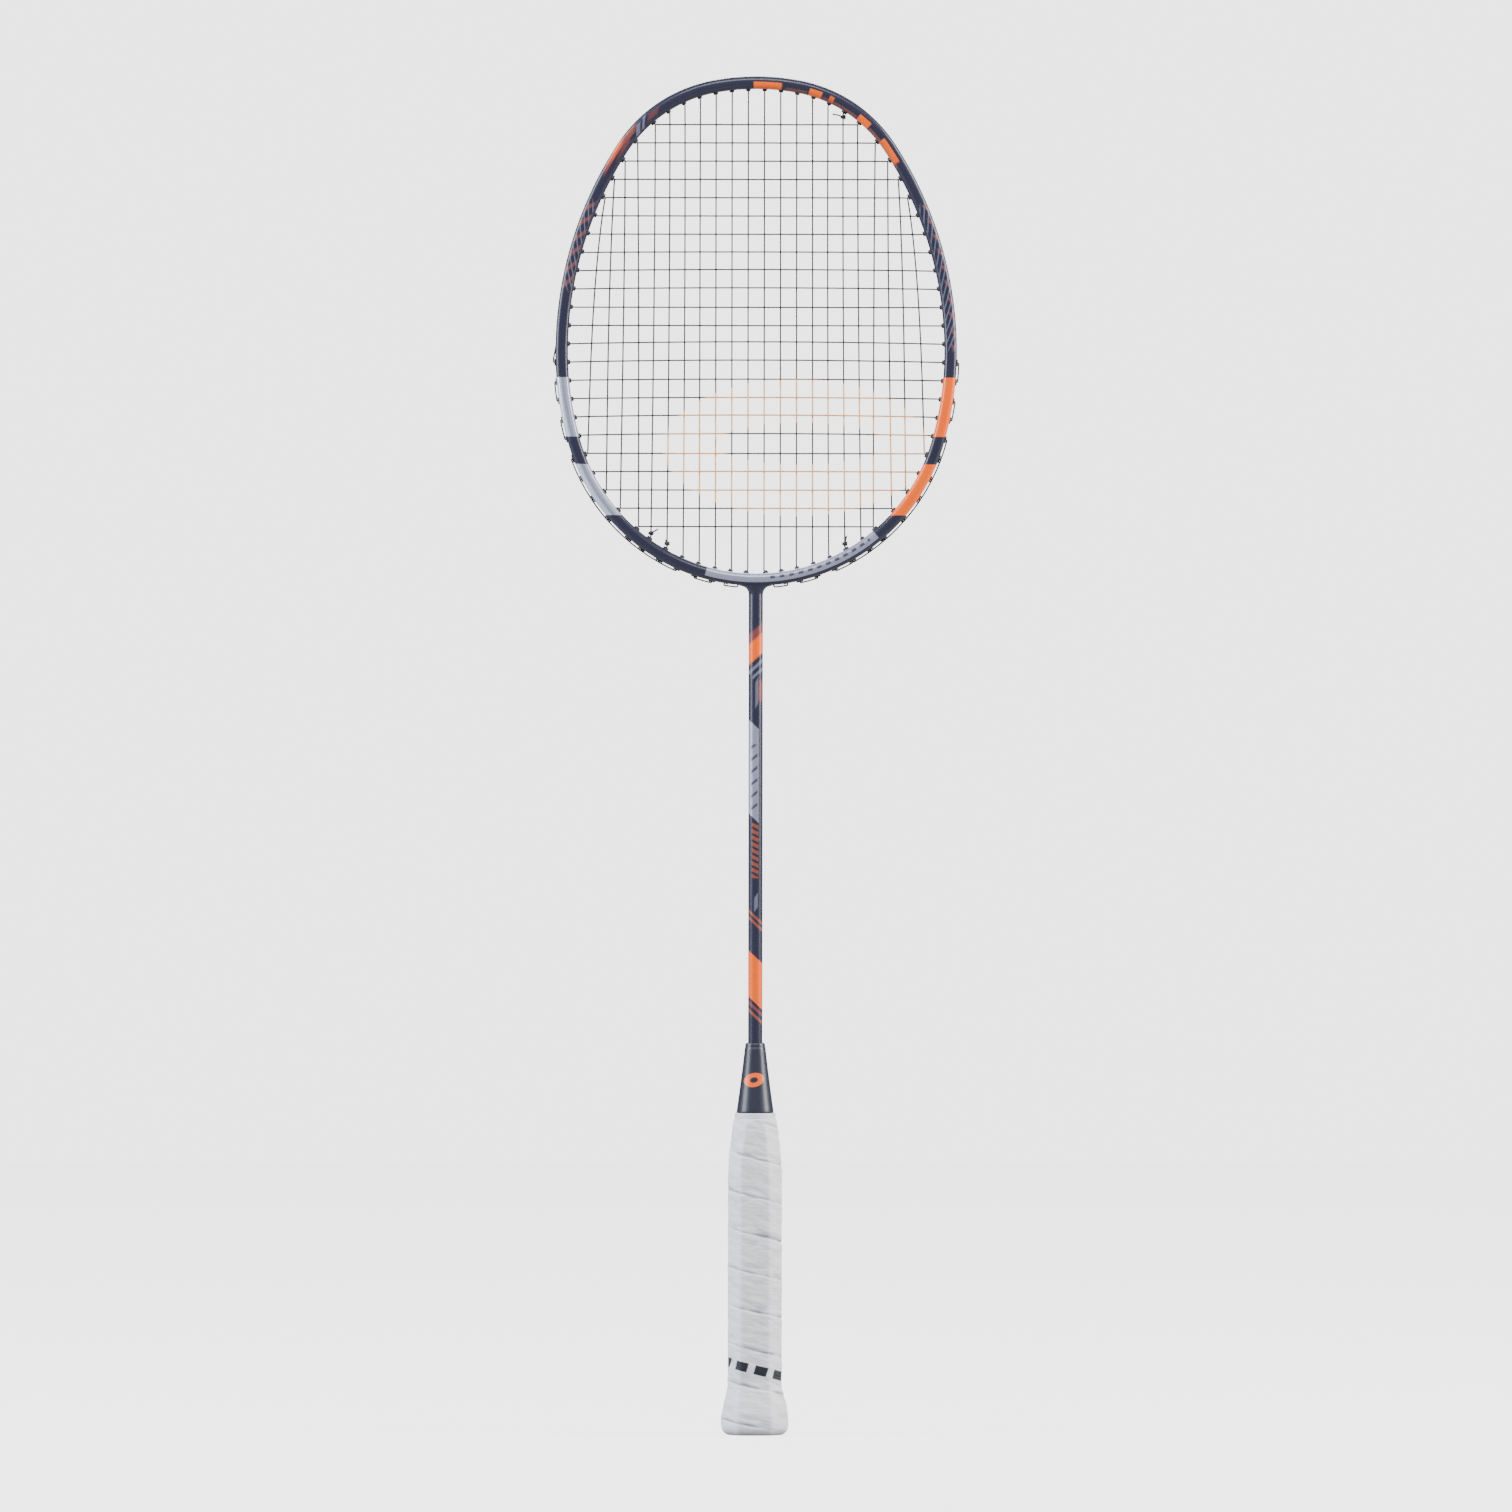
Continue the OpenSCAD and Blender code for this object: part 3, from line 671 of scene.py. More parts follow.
# ---- shaft ----
def shaft_finish():
    f = Finish("shaft_paint", NAVY, 0.3, Coat_Weight=0.2, Coat_Roughness=0.2, Specular_IOR_Level=0.3)
    x, z = f.x, f.z
    rise = z - x * 0.9
    fall = z + x * 0.95
    # orange patch under the throat, red at its upper end, with two grey dashes below it
    f.paint(RED, rise.within(392.5, 400.5, 0.5) * 0.85)
    f.paint(ORANGE, rise.within(385.5, 395.5, 0.7))
    f.paint(LILAC, rise.within(380.6, 382.6, 0.2))
    f.paint(LILAC, rise.within(376.6, 378.4, 0.2) * x.above(-1.6, 0.2))
    f.paint(RED, z.within(364.5, 375.0, 0.8) * x.above(1.0, 0.3) * 0.8)
    f.paint(LILAC, (z - x * 2).within(361.0, 374.0, 0.6) * x.within(-0.2, 1.2, 0.2))
    # long silver field with short slanted dark dashes
    field = fall.above(305.5, 0.3) * fall.below(352.0, 0.3) * x.below(1.55, 0.15)
    f.paint(SILVER, field)
    step = ((z - x * 0.8) / 6.1).fract()
    dash = step.within(0.12, 0.38, 0.05) * x.within(-2.2, 1.0, 0.15) * z.within(309, 343, 0.3)
    f.paint(NAVY, dash * 0.8)
    # row of small brown dashes
    step = ((z + x * 0.5) / 3.2).fract()
    dash = step.within(0.2, 0.8, 0.08) * x.within(-1.9, 1.5, 0.2) * z.within(276.5, 304.0, 0.4)
    f.paint(BROWN, dash * 0.85)
    f.paint(LILAC, (z - x * 1.5).within(260.5, 267.5, 0.4) * x.within(-0.6, 1.2, 0.2))
    for level in (253.0, 256.2):
        f.paint(BROWN, fall.within(level, level + 1.7, 0.25) * 0.9)
    # solid orange block and the dashes below it
    f.paint(ORANGE, fall.within(214.5, 237.4, 0.2))
    for level, tone in ((210.8, RED), (207.0, BROWN)):
        f.paint(tone, fall.within(level, level + 1.8, 0.25) * 0.9)
    lacquer(f, 0.34)
    f.metal(field * 0.35)
    return f.done()


def build_shaft():
    shape = Shape()
    top = FOOT - FILLET
    foot = CONE.top - SPIGOT
    levels = [foot + (top + 0.2 - foot) * k / 60 for k in range(61)]
    verts, faces = loft(lathe([(SHAFT_R, z) for z in levels], 72), caps=(True, False))
    shape.add(verts, faces)
    shape.build("shaft_painted", shaft_finish(), "frame_paint", "shaft")


# ---- cone ----
def cone_finish():
    f = Finish("cone_plastic", (0.016, 0.018, 0.034, 1), 0.36, Specular_IOR_Level=0.5, Coat_Weight=0.15,
               Coat_Roughness=0.2)
    # plain oval mark on the front and the back
    ring = ((f.x + 0.6) / 5.0).power(2) + ((f.z - 176.4 - f.x * 0.12) / 3.5).power(2)
    f.paint(ORANGE, ring.below(1.0, 0.06))
    f.paint((0.016, 0.018, 0.034, 1), ring.below(0.16, 0.05))
    f.shade(0.9, 1.12, f.noise(0.4, 3.0))
    f.rough(0.3, 0.18, 3.0, 4.0, 0.7)
    f.bump(f.noise(6.0, 3.0), 0.02, 0.6)
    return f.done()


def build_cone():
    shape = Shape()
    z0, z1 = CONE.foot + SPIGOT, CONE.top
    base = CONE.half
    top = 4.65
    bore = SHAFT_R + 0.08
    profile = [(bore, z0 + 0.3), (base - 0.5, z0 + 0.02), (base - 0.12, z0 + 0.06), (base, z0 + 0.3),
               (base, z0 + 0.8)]
    slope_top = top + 0.5
    for k in range(1, 30):
        t = k / 30
        bulge = 0.12 * math.sin(math.pi * t)
        profile.append((base + (slope_top - base) * t - bulge, z0 + 0.8 + (z1 - 2.4 - z0 - 0.8) * t))
    profile += [(slope_top, z1 - 2.4), (slope_top - 0.12, z1 - 2.2), (slope_top - 0.14, z1 - 2.0),
                (top + 0.34, z1 - 1.7), (top + 0.28, z1 - 0.9), (top + 0.16, z1 - 0.4), (top, z1 - 0.12),
                (top - 0.25, z1), (bore + 0.2, z1 - 0.02), (bore, z1 - 0.25), (bore, z1 - 2)]
    verts, faces = loft(lathe(profile))
    shape.add(verts, faces)
    shape.build("cone_cap_moulded", cone_finish(), "cone_plastic", "cone_cap")


# ---- handle ----
GRIP_W = 26.8
GRIP_D = 24.4
FACET = 14.0
DIAGONAL = (FACET + GRIP_D) / 2 / math.sqrt(2)
FLARE = Size("grip_wrap").half - GRIP_W / 2
BUTT = 27.0
PITCH = 19.0
TAPE_Z = TAPE.foot
GRIP_TOP = TAPE.top
TAPER = 30.0
TOP_HALF = 10.9
WRAP_T = 2.2
TAPED_R = 9.6  # of the wood under the tape
NECK_R = 8.1
BUTT_HOLE_R = 9.25
STRIP_PROUD = 0.34  # how far a wrinkle may rise over the plain form
STRIP_SUNK = 0.16


def spread(w, z):
    """Distance of a facet from the axis at height z, for its distance w along the grip."""
    if z < 7:
        return w + FLARE
    if z < BUTT:
        return w + FLARE * (1 + cos(180 * (z - 7) / (BUTT - 7))) / 2
    start = TAPE_Z - TAPER
    if z < start:
        return w
    t = min(1.0, (z - start) / TAPER)
    return TOP_HALF + (w - TOP_HALF) * cos(90 * t)


def grip_radius(theta, z, inset=0.0, sharp=34.0):
    total = 0.0
    for k, w in enumerate((GRIP_W / 2, DIAGONAL, GRIP_D / 2, DIAGONAL) * 2):
        c = cos(theta - 45 * k)
        if c > 0.05:
            total += (c / (spread(w, z) - inset)) ** sharp
    r = total ** (-1 / sharp)
    start = TAPE_Z - TAPER
    if z > start:
        limit = 24 + (11.5 - 24) * (z - start) / TAPER
        r = min(r, limit)
    return r


def smooth(t):
    t = min(1.0, max(0.0, t))
    return t * t * (3 - 2 * t)


def round_share(theta):
    """How far round the grip an angle lies, from 0 to 1, starting at the middle of the back."""
    return ((theta - 90) % 360) / 360


def wrinkles(theta, run, close):
    """Wrinkles of the strip at a height measured along its winding."""
    around = Vector((cos(theta), sin(theta), 0))
    broad = noise.noise(Vector((around.x * 1.9, around.y * 1.9, run * 0.36)) + Vector((2, 7, 1)))
    fine = noise.noise(Vector((around.x * 2.7, around.y * 2.7, run * 0.8)) + Vector((1, 3, 8)))
    ridge = max(0.0, 1 - abs(fine) * 3.0)
    return broad * (0.22 + 0.24 * close) + ridge * (0.07 + 0.14 * close)


def wrap_relief(theta, z):
    """Height of the wound strip's overlap, creases and wrinkles over the plain form."""
    share = round_share(theta)
    phase = (z - 89.7) / PITCH + share
    seam = math.floor(phase + 0.5)
    along = share - seam
    wander = 0.5 * noise.noise(Vector((along * 3.1, 0.5, 0)))
    wander += 0.2 * noise.noise(Vector((along * 11, 4.5, 0)))
    dist = (phase - seam) * PITCH - wander
    strong = 0.66 + 0.34 * math.cos(math.pi * along)
    vary = 0.8 + 0.5 * noise.noise(Vector((along * 5.3, 9.5, 0)))
    lap = smooth(dist / 0.9 + 0.5)
    h = -0.72 * strong * vary * math.exp(-((dist - 0.2) / 0.7) ** 2)
    h += (1 - lap) * (0.34 * strong * vary + 0.06) * math.exp(min(0.0, dist) / 3.0)
    h -= lap * 0.16 * strong * math.exp(-max(0.0, dist) / 2.4)
    close = math.exp(-abs(dist) / 5.0)
    run = z + PITCH * share
    crease = wrinkles(theta, run, close)
    if share > 0.85:
        blend = smooth((share - 0.85) / 0.15)
        crease += (wrinkles(theta, run - PITCH, close) - crease) * blend
    return h + crease


def grip_finish():
    f = Finish("grip_skin", (0.78, 0.785, 0.83, 1), 0.46, Specular_IOR_Level=0.35, Sheen_Weight=0.12,
               Sheen_Roughness=0.5)
    relief = f.value("relief")
    # painted shade: the wrap is darker where its relief is low, in the seams, overlaps and creases between
    # the turns
    f.shade(0.46, 1.0, relief.op("MULTIPLY_ADD", 1.5, 0.96, clamp=True))
    f.shade(0.93, 1.0, relief.op("MULTIPLY_ADD", 2.6, 0.5, clamp=True))
    f.shade(0.955, 1.0, f.noise(0.09, 3.0))
    # plain short dashes printed across the front of one turn
    share = f.value("around")
    low = f.z + share * PITCH
    rowed = low.within(39.9, 44.7, 0.15)
    step = (share * 8.3 + 0.02 - (low - 42.3) * 0.03).fract()
    f.paint((0.012, 0.013, 0.022, 1), rowed * step.within(0.16, 0.8, 0.02) * f.y.below(4, 0.1))
    f.bump(f.cells(3.2), 0.05, 0.35)
    f.bump(f.noise(1.6, 5.0, 0.65), 0.07, 0.5)
    f.rough(0.38, 0.2, 2.0, 3.0)
    return f.done()


def build_grip():
    shape = Shape()
    count = 192
    step = 0.34
    rounding = 4.2
    bottom = 0.02
    profile = []
    for k in range(5):
        profile.append((bottom, 6.0 - 1.8 * k / 5, k / 5))
    for k in range(13):
        a = 90 * k / 12
        profile.append((bottom + rounding * (1 - cos(a)), rounding * (1 - sin(a)), 1.0))
    z = bottom + rounding + step
    while z < TAPE_Z + 1.5:
        profile.append((z, 0.0, 1.0))
        z += step
    profile.append((TAPE_Z + 1.6, 0.4, 1.0))
    profile.append((TAPE_Z + 1.7, 1.4, 1.0))
    rings, reliefs, arounds = [], [], []
    for z, inset, outward in profile:
        ring = []
        for k in range(count):
            theta = 360 * k / count
            r = grip_radius(theta, z, inset)
            if outward < 1:
                r = BUTT_HOLE_R + (r - BUTT_HOLE_R) * outward
            fade = min(1.0, max(0.0, (z - 1.2) / 4)) * min(1.0, max(0.0, (TAPE_Z + 1.5 - z) / 3))
            h = wrap_relief(theta, z) * fade
            if z < 6:
                h += 0.1 * noise.noise(Vector((cos(theta) * 3, sin(theta) * 3, z * 0.5)))
            r += min(h, STRIP_PROUD) - STRIP_SUNK
            ring.append((r * cos(theta), r * sin(theta), z))
            reliefs.append(h)
            arounds.append(round_share(theta))
        rings.append(ring)
    verts, faces = loft(rings)
    shape.add(verts, faces, relief=reliefs, around=arounds)
    shape.build("grip_wrap_wound", grip_finish(), "grip_skin", "grip_wrap")


def wood_finish():
    f = Finish("wood_grain", (0.52, 0.34, 0.17, 1), 0.6)
    grain = f.noise(0.8, 4.0, 0.6, f.joined(f.x * 3, f.y * 3, f.z * 0.12))
    f.shade(0.7, 1.15, grain)
    f.bump(grain, 0.08, 0.6)
    return f.done()


def build_core():
    """The wooden handle inside the wrap: octagonal, with a rounded butt and a recess for the badge."""
    shape = Shape()
    top = Size("handle_core").top
    recess, depth = BADGE.half + 0.1, BADGE.top + 0.1
    levels = [(0.3 + 4 * (1 - cos(a)), WRAP_T + 4 * (1 - sin(a))) for a in range(0, 91, 10)]
    levels += [(z, WRAP_T) for z in (*range(6, int(TAPE_Z) - 1, 3), TAPE_Z, GRIP_TOP - 0.3)]
    rings = lathe([(recess, depth), (recess, 0.3)], 72)
    for z, inset in levels:
        limit = TAPED_R if z > TAPE_Z - 1 else math.inf
        ring = []
        for a in range(0, 360, 5):
            r = min(grip_radius(a, z, inset), limit)
            ring.append((r * cos(a), r * sin(a), z))
        rings.append(ring)
    if top > GRIP_TOP:
        rings += lathe([(NECK_R, GRIP_TOP - 0.2), (NECK_R, top)], 72)
    verts, faces = loft(rings, caps=(True, True))
    shape.add(verts, faces)
    shape.build("handle_core_turned", wood_finish(), "wood", "handle_core")


def tape_finish():
    f = Finish("tape_film", (0.74, 0.745, 0.82, 1), 0.34, Specular_IOR_Level=0.45)
    f.shade(0.93, 1.03, f.noise(0.5, 3.0))
    f.rough(0.25, 0.2, 1.5, 4.0)
    f.bump(f.noise(1.2, 4.0), 0.08, 0.6)
    return f.done()


def build_tape():
    """Two turns of film whose edges don't quite meet, with the loose end at the back."""
    shape = Shape()
    outer = TAPE.half
    count = 144
    rings = []
    heights = [0, 0.12, 0.5, 1.0, 1.6, 2.2, 2.9, 3.5, 4.0, 4.4, 4.6]
    span = GRIP_TOP - TAPE_Z
    for i, h in enumerate(heights):
        ring = []
        t = h / 4.6
        for k in range(count):
            theta = 360 * k / count
            wave = 0.10 * noise.noise(Vector((cos(theta) * 2.5, sin(theta) * 2.5, h * 0.9)))
            wave += 0.06 * noise.noise(Vector((cos(theta) * 7 + h * 0.5, sin(theta) * 7, h * 2.2)))
            second = 0.10 if 0.42 < t + 0.07 * cos(theta) else -0.1
            lapped = 0.08 if 80 < theta < 200 else 0.0
            r = outer - 0.2 + wave + second * 0.7 + lapped * 0.5
            if i == 0 or i == len(heights) - 1:
                r -= 0.16
            z = TAPE_Z + span * t + (0.10 * noise.noise(Vector((cos(theta), sin(theta), 4))) if i < 2 else 0)
            ring.append((min(r, outer) * cos(theta), min(r, outer) * sin(theta), z))
        rings.append(ring)
    inner = [[(x * 0.955, y * 0.955, z) for x, y, z in ring] for ring in (rings[-1], rings[0])]
    verts, faces = loft(rings + inner, closed=True)
    shape.add(verts, faces)
    shape.build("finishing_tape_film", tape_finish(), "tape", "finishing_tape")


def badge_finish():
    f = Finish("badge_plastic", (0.02, 0.021, 0.04, 1), 0.22, Specular_IOR_Level=0.5, Coat_Weight=0.4,
               Coat_Roughness=0.08)
    r2 = (f.x.power(2) + f.y.power(2)).power(0.5)
    f.paint(ORANGE, r2.within(5.2, 6.2, 0.08))
    f.paint(SILVER, r2.below(1.7, 0.08))
    f.shade(0.92, 1.08, f.noise(0.5, 3.0))
    f.rough(0.18, 0.15, 3.0, 4.0)
    f.bump(f.noise(5.0, 2.0), 0.01, 0.4)
    return f.done()


def build_badge():
    shape = Shape()
    r, top = BADGE.half, BADGE.top
    profile = [(0.01, top), (r - 0.1, top), (r, top - 0.15), (r, 0.3), (r - 0.12, 0.08), (r - 0.35, 0.0),
               (r - 1.1, 0.0), (r - 1.4, 0.12), (r - 1.5, 0.25), (6.4, 0.25), (6.3, 0.18), (6.2, 0.1),
               (5.2, 0.1), (5.1, 0.18), (5.0, 0.25), (1.9, 0.25), (1.75, 0.14), (1.6, 0.1), (0.01, 0.08)]
    verts, faces = loft(lathe(profile[::-1]))
    shape.add(verts, faces)
    shape.build("butt_badge_moulded", badge_finish(), "badge_plastic", "butt_badge")


# ---- strings ----
BOW = [0.65, 0.65, 0, 0, 1.05, 1.05, 0.65, 0.65, 1.0, 0.85, 0, 0.2]
WEAVE = STRAND_R - 0.02


def cross_z(j, x):
    """Height of cross string j at x: the middle ones are drawn up a little at their centre."""
    bow = BOW[j - 8] if 8 <= j < 20 else 0.3 if j == 7 else 0
    reach = abs(at(cross_hole[j], MOUTH)[0])
    return cross_level[j] + bow * max(0.0, 1 - (x / reach) ** 2)


def main_at(i, z):
    """Distance from the centre line of main string i at height z. The outermost ones bow outward."""
    (x0, z0), (x1, z1) = at(main_top[i], MOUTH), at(main_low[i], MOUTH)
    t = (z0 - z) / (z0 - z1)
    swell = {LAST: 2.1, LAST - 1: 1.0}.get(i, -0.3 if 3 < i < 9 else 0.0)
    return x0 + (x1 - x0) * t + swell * math.sin(math.pi * min(1.0, max(0.0, t)) ** 0.75)


def main_points(i, side):
    """Woven stretch of main string i, from its upper hole to its lower one."""
    (x0, z0), (x1, z1) = at(main_top[i], MOUTH), at(main_low[i], MOUTH)
    place = LAST - i if side < 0 else LAST + 1 + i
    points = []
    steps = max(40, int((z0 - z1) / 1.05))
    for k in range(steps + 1):
        z = z0 + (z1 - z0) * k / steps
        x = side * main_at(i, z)
        levels = [cross_z(j, x) for j in range(CROSSES)]
        if z >= levels[0]:
            t = 0.0
            loose = smooth((z - levels[0]) / 4)
        elif z <= levels[-1]:
            t = CROSSES - 1.0
            loose = smooth((levels[-1] - z) / 4)
        else:
            j = next(j for j in range(CROSSES - 1) if levels[j + 1] <= z)
            t = j + (levels[j] - z) / (levels[j] - levels[j + 1])
            loose = 0.0
        y = WEAVE * (-1) ** place * math.cos(math.pi * t)
        ends = max(loose, 1 - smooth((z0 - z) / 3), 1 - smooth((z - z1) / 3))
        points.append((x, y * (1 - ends) - LANE * ends, z))
    return points


def cross_points(j, side):
    """Woven stretch of cross string j, starting on the given side."""
    reach = at(cross_hole[j], MOUTH)[0]
    places = []
    for i in range(LAST + 1):
        top_z, low_z = at(main_top[i], MOUTH)[1], at(main_low[i], MOUTH)[1]
        for s in (-1, 1):
            x = s * main_at(i, cross_level[j])
            if low_z + 0.5 < cross_level[j] < top_z - 0.5 and abs(x) < reach - 1.2:
                places.append((x, LAST - i if s < 0 else LAST + 1 + i))
    places.sort()
    points = []
    steps = max(40, int(2 * reach / 1.0))
    for k in range(steps + 1):
        x = -reach + 2 * reach * k / steps
        if x <= places[0][0]:
            t, loose = places[0][1], smooth((places[0][0] - x) / 4)
        elif x >= places[-1][0]:
            t, loose = places[-1][1], smooth((x - places[-1][0]) / 4)
        else:
            m = next(m for m in range(len(places) - 1) if places[m + 1][0] >= x)
            (xa, ta), (xb, _) = places[m], places[m + 1]
            t, loose = ta + (x - xa) / (xb - xa), 0.0
        y = -WEAVE * (-1) ** j * math.cos(math.pi * t)
        ends = max(loose, 1 - smooth((reach - abs(x)) / 3))
        points.append((x, y * (1 - ends) + LANE * ends, cross_z(j, x)))
    return points if side < 0 else points[::-1]


def lifted(points, y):
    return [(x, y, z) for x, z in points]


def top_hole(i, side):
    return Hole(main_top[i], side=side)


def low_hole(i, side):
    return Hole(main_low[i], side=side)


def side_hole(j, side):
    return Hole(cross_hole[j], side=side)


def string_finish():
    f = Finish("string_fibre", (0.020, 0.021, 0.027, 1), 0.38, Specular_IOR_Level=0.35)
    # plain oval ring printed on the front of the strings
    q = ((f.x - 20) / 66).power(2) + ((f.z - 490.5) / 34).power(2)
    hole = ((f.x - 22) / 42).power(2) + ((f.z - 492.5) / 10.5).power(2)
    patchy = f.noise(0.35, 2.0).op("MULTIPLY_ADD", 0.5, 0.62, clamp=True)
    mask = q.below(1.0, 0.03) * hole.above(1.0, 0.08) * f.normal_y().below(0.35, 0.2) * patchy
    f.paint((0.95, 0.42, 0.10, 1), mask)
    run, turn = f.value("run"), f.value("turn")
    twist = ((run * 1.3 + turn) * 6.2832 * 2).sine()
    # painted shade and highlight: the strands are darker in the hollows of the twist and lighter on its
    # ridges, on the same wave as the bump
    f.shade(0.88, 1.1, twist.op("MULTIPLY_ADD", 0.5, 0.5))
    f.bump(twist, 0.02, 0.5)
    f.rough(0.3, 0.2, 3.0, 3.0)
    return f.done()


def build_strings(material):
    # one main string: from its last hole on the left, over the crown, to the last on the right
    def half(side):
        path = []
        for i in range(LAST + 1):
            top, low = top_hole(i, side), low_hole(i, side)
            woven = main_points(i, side)
            down = lifted([top.exit, top.along(1.4)], -LANE) + woven
            down += lifted([low.along(1.4), low.exit], -LANE)
            path += down if i % 2 == 0 else down[::-1]
            if i < LAST:
                a, b = (low_hole, low_hole) if i % 2 == 0 else (top_hole, top_hole)
                path += lifted(between(a(i, side), b(i + 1, side)), -LANE)
        return path

    first_left, first_right = half(-1), half(1)
    over = lifted([at(m, top_hole(0, 1).lane_out()) for m in (-0.8, 0.8)], -LANE)
    shape = Shape()
    strand(shape, rounded_path(first_left[::-1] + over + first_right, 0.55))
    for side in (-1, 1):
        last, tie = low_hole(LAST, side), Hole(main_low[TIE_MAIN], wide=True, side=side)
        back = [last.exit] + between(last, tie) + [tie.exit, tie.mouth]
        path = [(last.exit[0], -LANE, last.exit[1])] + lifted(back, TAIL_Y)
        path.append((tie.mouth[0], TAIL_Y + 0.05, tie.mouth[1] + 3.2))
        strand(shape, rounded_path(path, 0.5))
    shape.build("main_string_woven", material, "string", "main_string")

    start = Hole(main_top[TIE_MAIN], wide=True, side=1)
    finish = Hole(main_low[TIE_CROSS], wide=True, side=-1)
    path = lifted([(start.mouth[0], start.mouth[1] - 3.0), start.mouth, start.exit], LANE)
    path += lifted(between(start, side_hole(0, 1)), LANE)
    for j in range(CROSSES):
        side = 1 if j % 2 == 0 else -1
        a, b = side_hole(j, side), side_hole(j, -side)
        path += lifted([a.exit, a.along(1.4)], LANE) + cross_points(j, side)
        path += lifted([b.along(1.4), b.exit], LANE)
        if j < CROSSES - 1:
            path += lifted(between(b, side_hole(j + 1, -side)), LANE)
    path += lifted(between(side_hole(CROSSES - 1, -1), finish), LANE)
    path += lifted([finish.exit, finish.mouth, (finish.mouth[0], finish.mouth[1] + 3.0)], LANE)
    shape = Shape()
    strand(shape, rounded_path(path, 0.55))
    shape.build("cross_string_woven", material, "string", "cross_string")


def knot(shape, p, y, half_gap, up, end_angle, end_length):
    """Two tight hitches round a pair of strings, a loop over them, and the cut end."""
    hitch = half_gap + GAUGE * 0.98
    x0, z0 = p
    path = []
    turns = 2.35
    steps = 64
    for k in range(steps + 1):
        t = k / steps
        a = 2 * math.pi * turns * t - math.pi / 2
        lift = up * (0.75 + t * turns * GAUGE * 0.93)
        r = hitch * (1 - 0.05 * math.sin(math.pi * t))
        path.append(Vector((x0 + r * math.cos(a), y + r * math.sin(a), z0 + lift)))
    strand(shape, path)
    dx, dz = sin(end_angle), cos(end_angle)
    start = Vector((x0, y - hitch, z0 + up * 1.3))
    tail = [start, start + Vector((dx * 0.9, -0.25, dz * 0.9)),
            start + Vector((dx * end_length * 0.6, -0.35, dz * end_length * 0.6 + 0.15)),
            start + Vector((dx * end_length, -0.2, dz * end_length))]
    strand(shape, rounded_path(tail, 1.2))
    bridge = []
    for k in range(17):
        a = math.pi * k / 16
        bridge.append(Vector((x0 - hitch * 0.15, y - (hitch + 0.15) * math.sin(a) - 0.15,
                              z0 + up * (0.55 + 1.9 * (k / 16)))))
    strand(shape, bridge)


def build_knots(material):
    half_gap = (-LANE - TAIL_Y) / 2
    shape = Shape()
    x, z = at(main_low[TIE_MAIN], MOUTH)
    knot(shape, (x, z), TIE_Y, half_gap, 1, 12, 4.3)
    knot(shape, (-x, z), TIE_Y, half_gap, 1, -20, 2.2)
    shape.build("main_knots_tied", material, "string", "main_knots")
    shape = Shape()
    knot(shape, at(main_top[TIE_MAIN], MOUTH), 0, LANE, -1, -78, 5.3)
    x, z = at(main_low[TIE_CROSS], MOUTH)
    knot(shape, (-x, z), 0, LANE, 1, 58, 4.3)
    shape.build("cross_knots_tied", material, "string", "cross_knots")


# ---- grommets ----
def grommet_finish():
    f = Finish("grommet_plastic", (0.016, 0.016, 0.024, 1), 0.5, Specular_IOR_Level=0.4)
    f.shade(0.85, 1.2, f.noise(1.0, 3.0))
    f.rough(0.4, 0.2, 3.0, 4.0)
    f.bump(f.noise(7.0, 3.0), 0.02, 0.6)
    return f.done()


def grommet(shape, hole):
    """A moulded sleeve with a soft inner lip, a small collar at the frame and a rounded head."""
    r, b, deep = hole.d / 2, hole.bore / 2, hole.deep
    collar = -MOUTH - WIDTH
    top = deep + HEAD_THICK
    head = hole.head
    profile = [(b, 0.62), (b + 0.06, 0.46), (b + 0.16, 0.40), (r - 0.1, 0.42), (r - 0.02, 0.52), (r, 0.7),
               (r + 0.02, collar - 0.35), (r + 0.14, collar - 0.16), (r + 0.34, collar - 0.04),
               (r + 0.34, collar + 0.5), (r, collar + 0.6), (r, deep - 0.05), (head - 0.22, deep),
               (head - 0.06, deep + 0.05), (head, deep + 0.18), (head, top - 0.26), (head - 0.08, top - 0.08),
               (head - 0.26, top), (b + 0.3, top - 0.02), (b + 0.1, top - 0.1), (b, top - 0.3)]
    (mx, mz), (ax, az) = hole.mouth, hole.axis
    rings = [[(mx + ax * t + az * c, hole.y + s, mz + az * t - ax * c) for c, s, _ in circle(out, 0, 22)]
             for out, t in profile]
    verts, faces = loft(rings, closed=True)
    shape.add(verts, faces)


def build_grommets():
    material = grommet_finish()
    shared = [c for c in cross_hole if c in main_top or c in main_low]
    plain = [c for c in cross_hole if c not in shared]
    top_only = [n for n in main_top if n not in cross_hole]
    low_only = [n for n in main_low if n not in cross_hole]
    tie_top, tie_low, tie_cross = main_top[TIE_MAIN], main_low[TIE_MAIN], main_low[TIE_CROSS]
    groups = {
        "crown_grommets": [Hole(n) for n in top_only if n != tie_top] + [Hole(n, side=-1) for n in top_only],
        "right_grommets": [Hole(n) for n in plain],
        "left_grommets": [Hole(n, side=-1) for n in plain],
        "throat_grommets": [Hole(n) for n in low_only if n != tie_low]
        + [Hole(n, side=-1) for n in low_only if n not in (tie_low, tie_cross)],
        "shared_grommets": [Hole(n, True, side=s) for n in shared for s in (-1, 1)],
        "tie_off_grommets": [Hole(tie_top, True), Hole(tie_low, True, TIE_Y),
                             Hole(tie_cross, True, side=-1), Hole(tie_low, True, TIE_Y, -1)],
    }
    for node, holes in groups.items():
        shape = Shape()
        for hole in holes:
            grommet(shape, hole)
        shape.build(node + "_moulded", material, "grommet_plastic", node)


# ---- inner pieces, which keep their CAD meshes ----
def dress(node, material):
    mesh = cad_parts[node].data
    mesh.materials.clear()
    mesh.materials.append(material)


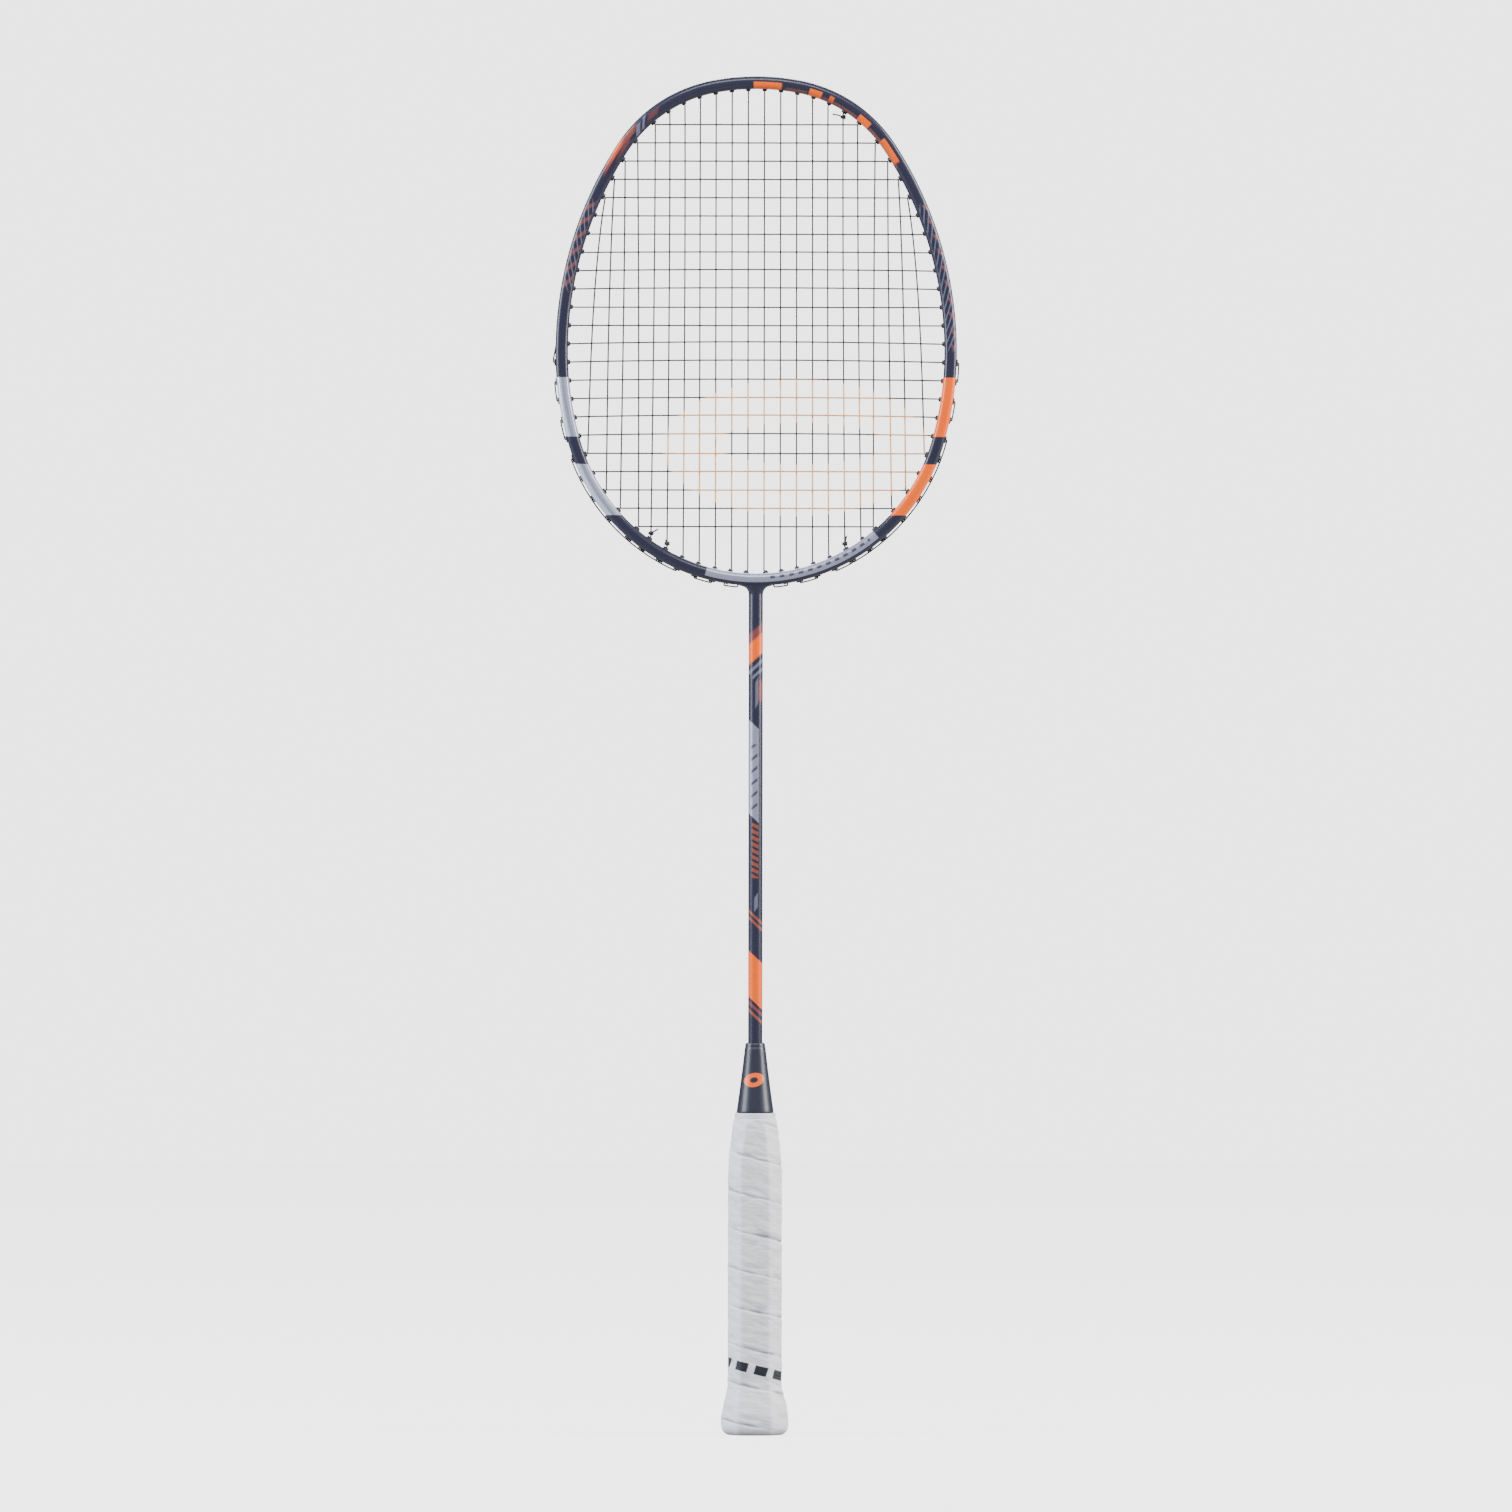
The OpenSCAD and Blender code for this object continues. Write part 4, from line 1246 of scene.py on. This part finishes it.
def inner_finishes():
    f = Finish("inner_plastic", (0.2, 0.2, 0.22, 1), 0.55)
    f.shade(0.85, 1.1, f.noise(0.8, 3.0))
    f.bump(f.noise(4.0, 3.0), 0.03, 0.5)
    dress("t_joint", f.done())
    f = Finish("tack_steel", (0.6, 0.6, 0.62, 1), 0.3, Metallic=1.0)
    f.shade(0.85, 1.1, f.noise(2.0, 3.0))
    f.bump(f.noise(6.0, 3.0), 0.01, 0.5)
    dress("grip_tack", f.done())


# ---- stage ----
FLOOR_GLOW = 3.1
BACKDROP = 3.3
AMBIENT = 0.16
VIEW_DISTANCE = 6.0
VIEW_WIDTH = 0.7515
VIEW_HEIGHT = 0.3372
LEAN = -0.08


def glowing(tree, kind, tint, strength):
    node = tree.nodes.new(kind)
    node.inputs["Color"].default_value = tint
    node.inputs["Strength"].default_value = strength
    return node


def build_stage():
    floor_mesh = bpy.data.meshes.new("floor")
    count = 96
    floor_mesh.from_pydata([(0, 0, 0)] + circle(4, 0, count), [],
                           [(0, 1 + k, 1 + (k + 1) % count) for k in range(count)])
    floor = placed("floor", floor_mesh)
    material = bpy.data.materials.new("floor_paper")
    material.use_nodes = True
    tree = material.node_tree
    tree.nodes.clear()
    out = tree.nodes.new("ShaderNodeOutputMaterial")
    diffuse = tree.nodes.new("ShaderNodeBsdfDiffuse")
    diffuse.inputs["Color"].default_value = (0.3, 0.3, 0.3, 1)
    glow = glowing(tree, "ShaderNodeEmission", (1, 1, 1, 1), 1)
    path = tree.nodes.new("ShaderNodeLightPath")
    gain = tree.nodes.new("ShaderNodeMath")
    gain.operation = "MULTIPLY"
    gain.inputs[1].default_value = FLOOR_GLOW
    tree.links.new(path.outputs["Is Camera Ray"], gain.inputs[0])
    tree.links.new(gain.outputs[0], glow.inputs["Strength"])
    add = tree.nodes.new("ShaderNodeAddShader")
    tree.links.new(diffuse.outputs[0], add.inputs[0])
    tree.links.new(glow.outputs[0], add.inputs[1])
    tree.links.new(add.outputs[0], out.inputs["Surface"])
    floor_mesh.materials.append(material)

    world = bpy.data.worlds.new("studio")
    bpy.context.scene.world = world
    world.use_nodes = True
    tree = world.node_tree
    tree.nodes.clear()
    out = tree.nodes.new("ShaderNodeOutputWorld")
    seen = glowing(tree, "ShaderNodeBackground", (1, 1, 1, 1), BACKDROP)
    light = glowing(tree, "ShaderNodeBackground", (0.93, 0.95, 1, 1), AMBIENT)
    mix = tree.nodes.new("ShaderNodeMixShader")
    path = tree.nodes.new("ShaderNodeLightPath")
    tree.links.new(path.outputs["Is Camera Ray"], mix.inputs[0])
    tree.links.new(light.outputs[0], mix.inputs[1])
    tree.links.new(seen.outputs[0], mix.inputs[2])
    tree.links.new(mix.outputs[0], out.inputs["Surface"])


def lamp(name, azimuth, height, distance, wide, tall, power, tint, target=0.34):
    """A softbox at an azimuth from the front, turned to the racket."""
    data = bpy.data.lights.new(name, "AREA")
    data.shape = "RECTANGLE"
    data.size = wide
    data.size_y = tall
    data.energy = power
    data.color = tint
    ob = placed(name, data)
    ob.location = (distance * sin(azimuth), -distance * cos(azimuth), height)
    aim = Vector((0, 0, target)) - ob.location
    ob.rotation_euler = aim.to_track_quat("-Z", "Y").to_euler()


def build_camera():
    data = bpy.data.cameras.new("camera")
    camera = placed("camera", data)
    data.sensor_width = 36
    data.lens = data.sensor_width * VIEW_DISTANCE / VIEW_WIDTH
    data.clip_end = 60
    camera.location = (0.0002, -VIEW_DISTANCE, VIEW_HEIGHT)
    camera.rotation_euler = (rad(90), rad(LEAN), 0)
    bpy.context.scene.camera = camera


build_frame()
build_shaft()
build_cone()
build_grip()
build_core()
build_tape()
build_badge()
string_material = string_finish()
build_strings(string_material)
build_knots(string_material)
build_grommets()
inner_finishes()
build_stage()
lamp("softbox_left", -76, 1.05, 1.6, 0.9, 1.5, 68, (0.88, 0.93, 1.0))
lamp("softbox_right", 80, 1.05, 1.6, 0.8, 1.5, 72, (1.0, 0.985, 0.97))
lamp("softbox_front", 0, 2.3, 1.9, 1.4, 0.8, 60, (1.0, 1.0, 1.0))
lamp("softbox_back", 180, 2.3, 1.9, 1.4, 0.8, 60, (1.0, 1.0, 1.0))
build_camera()
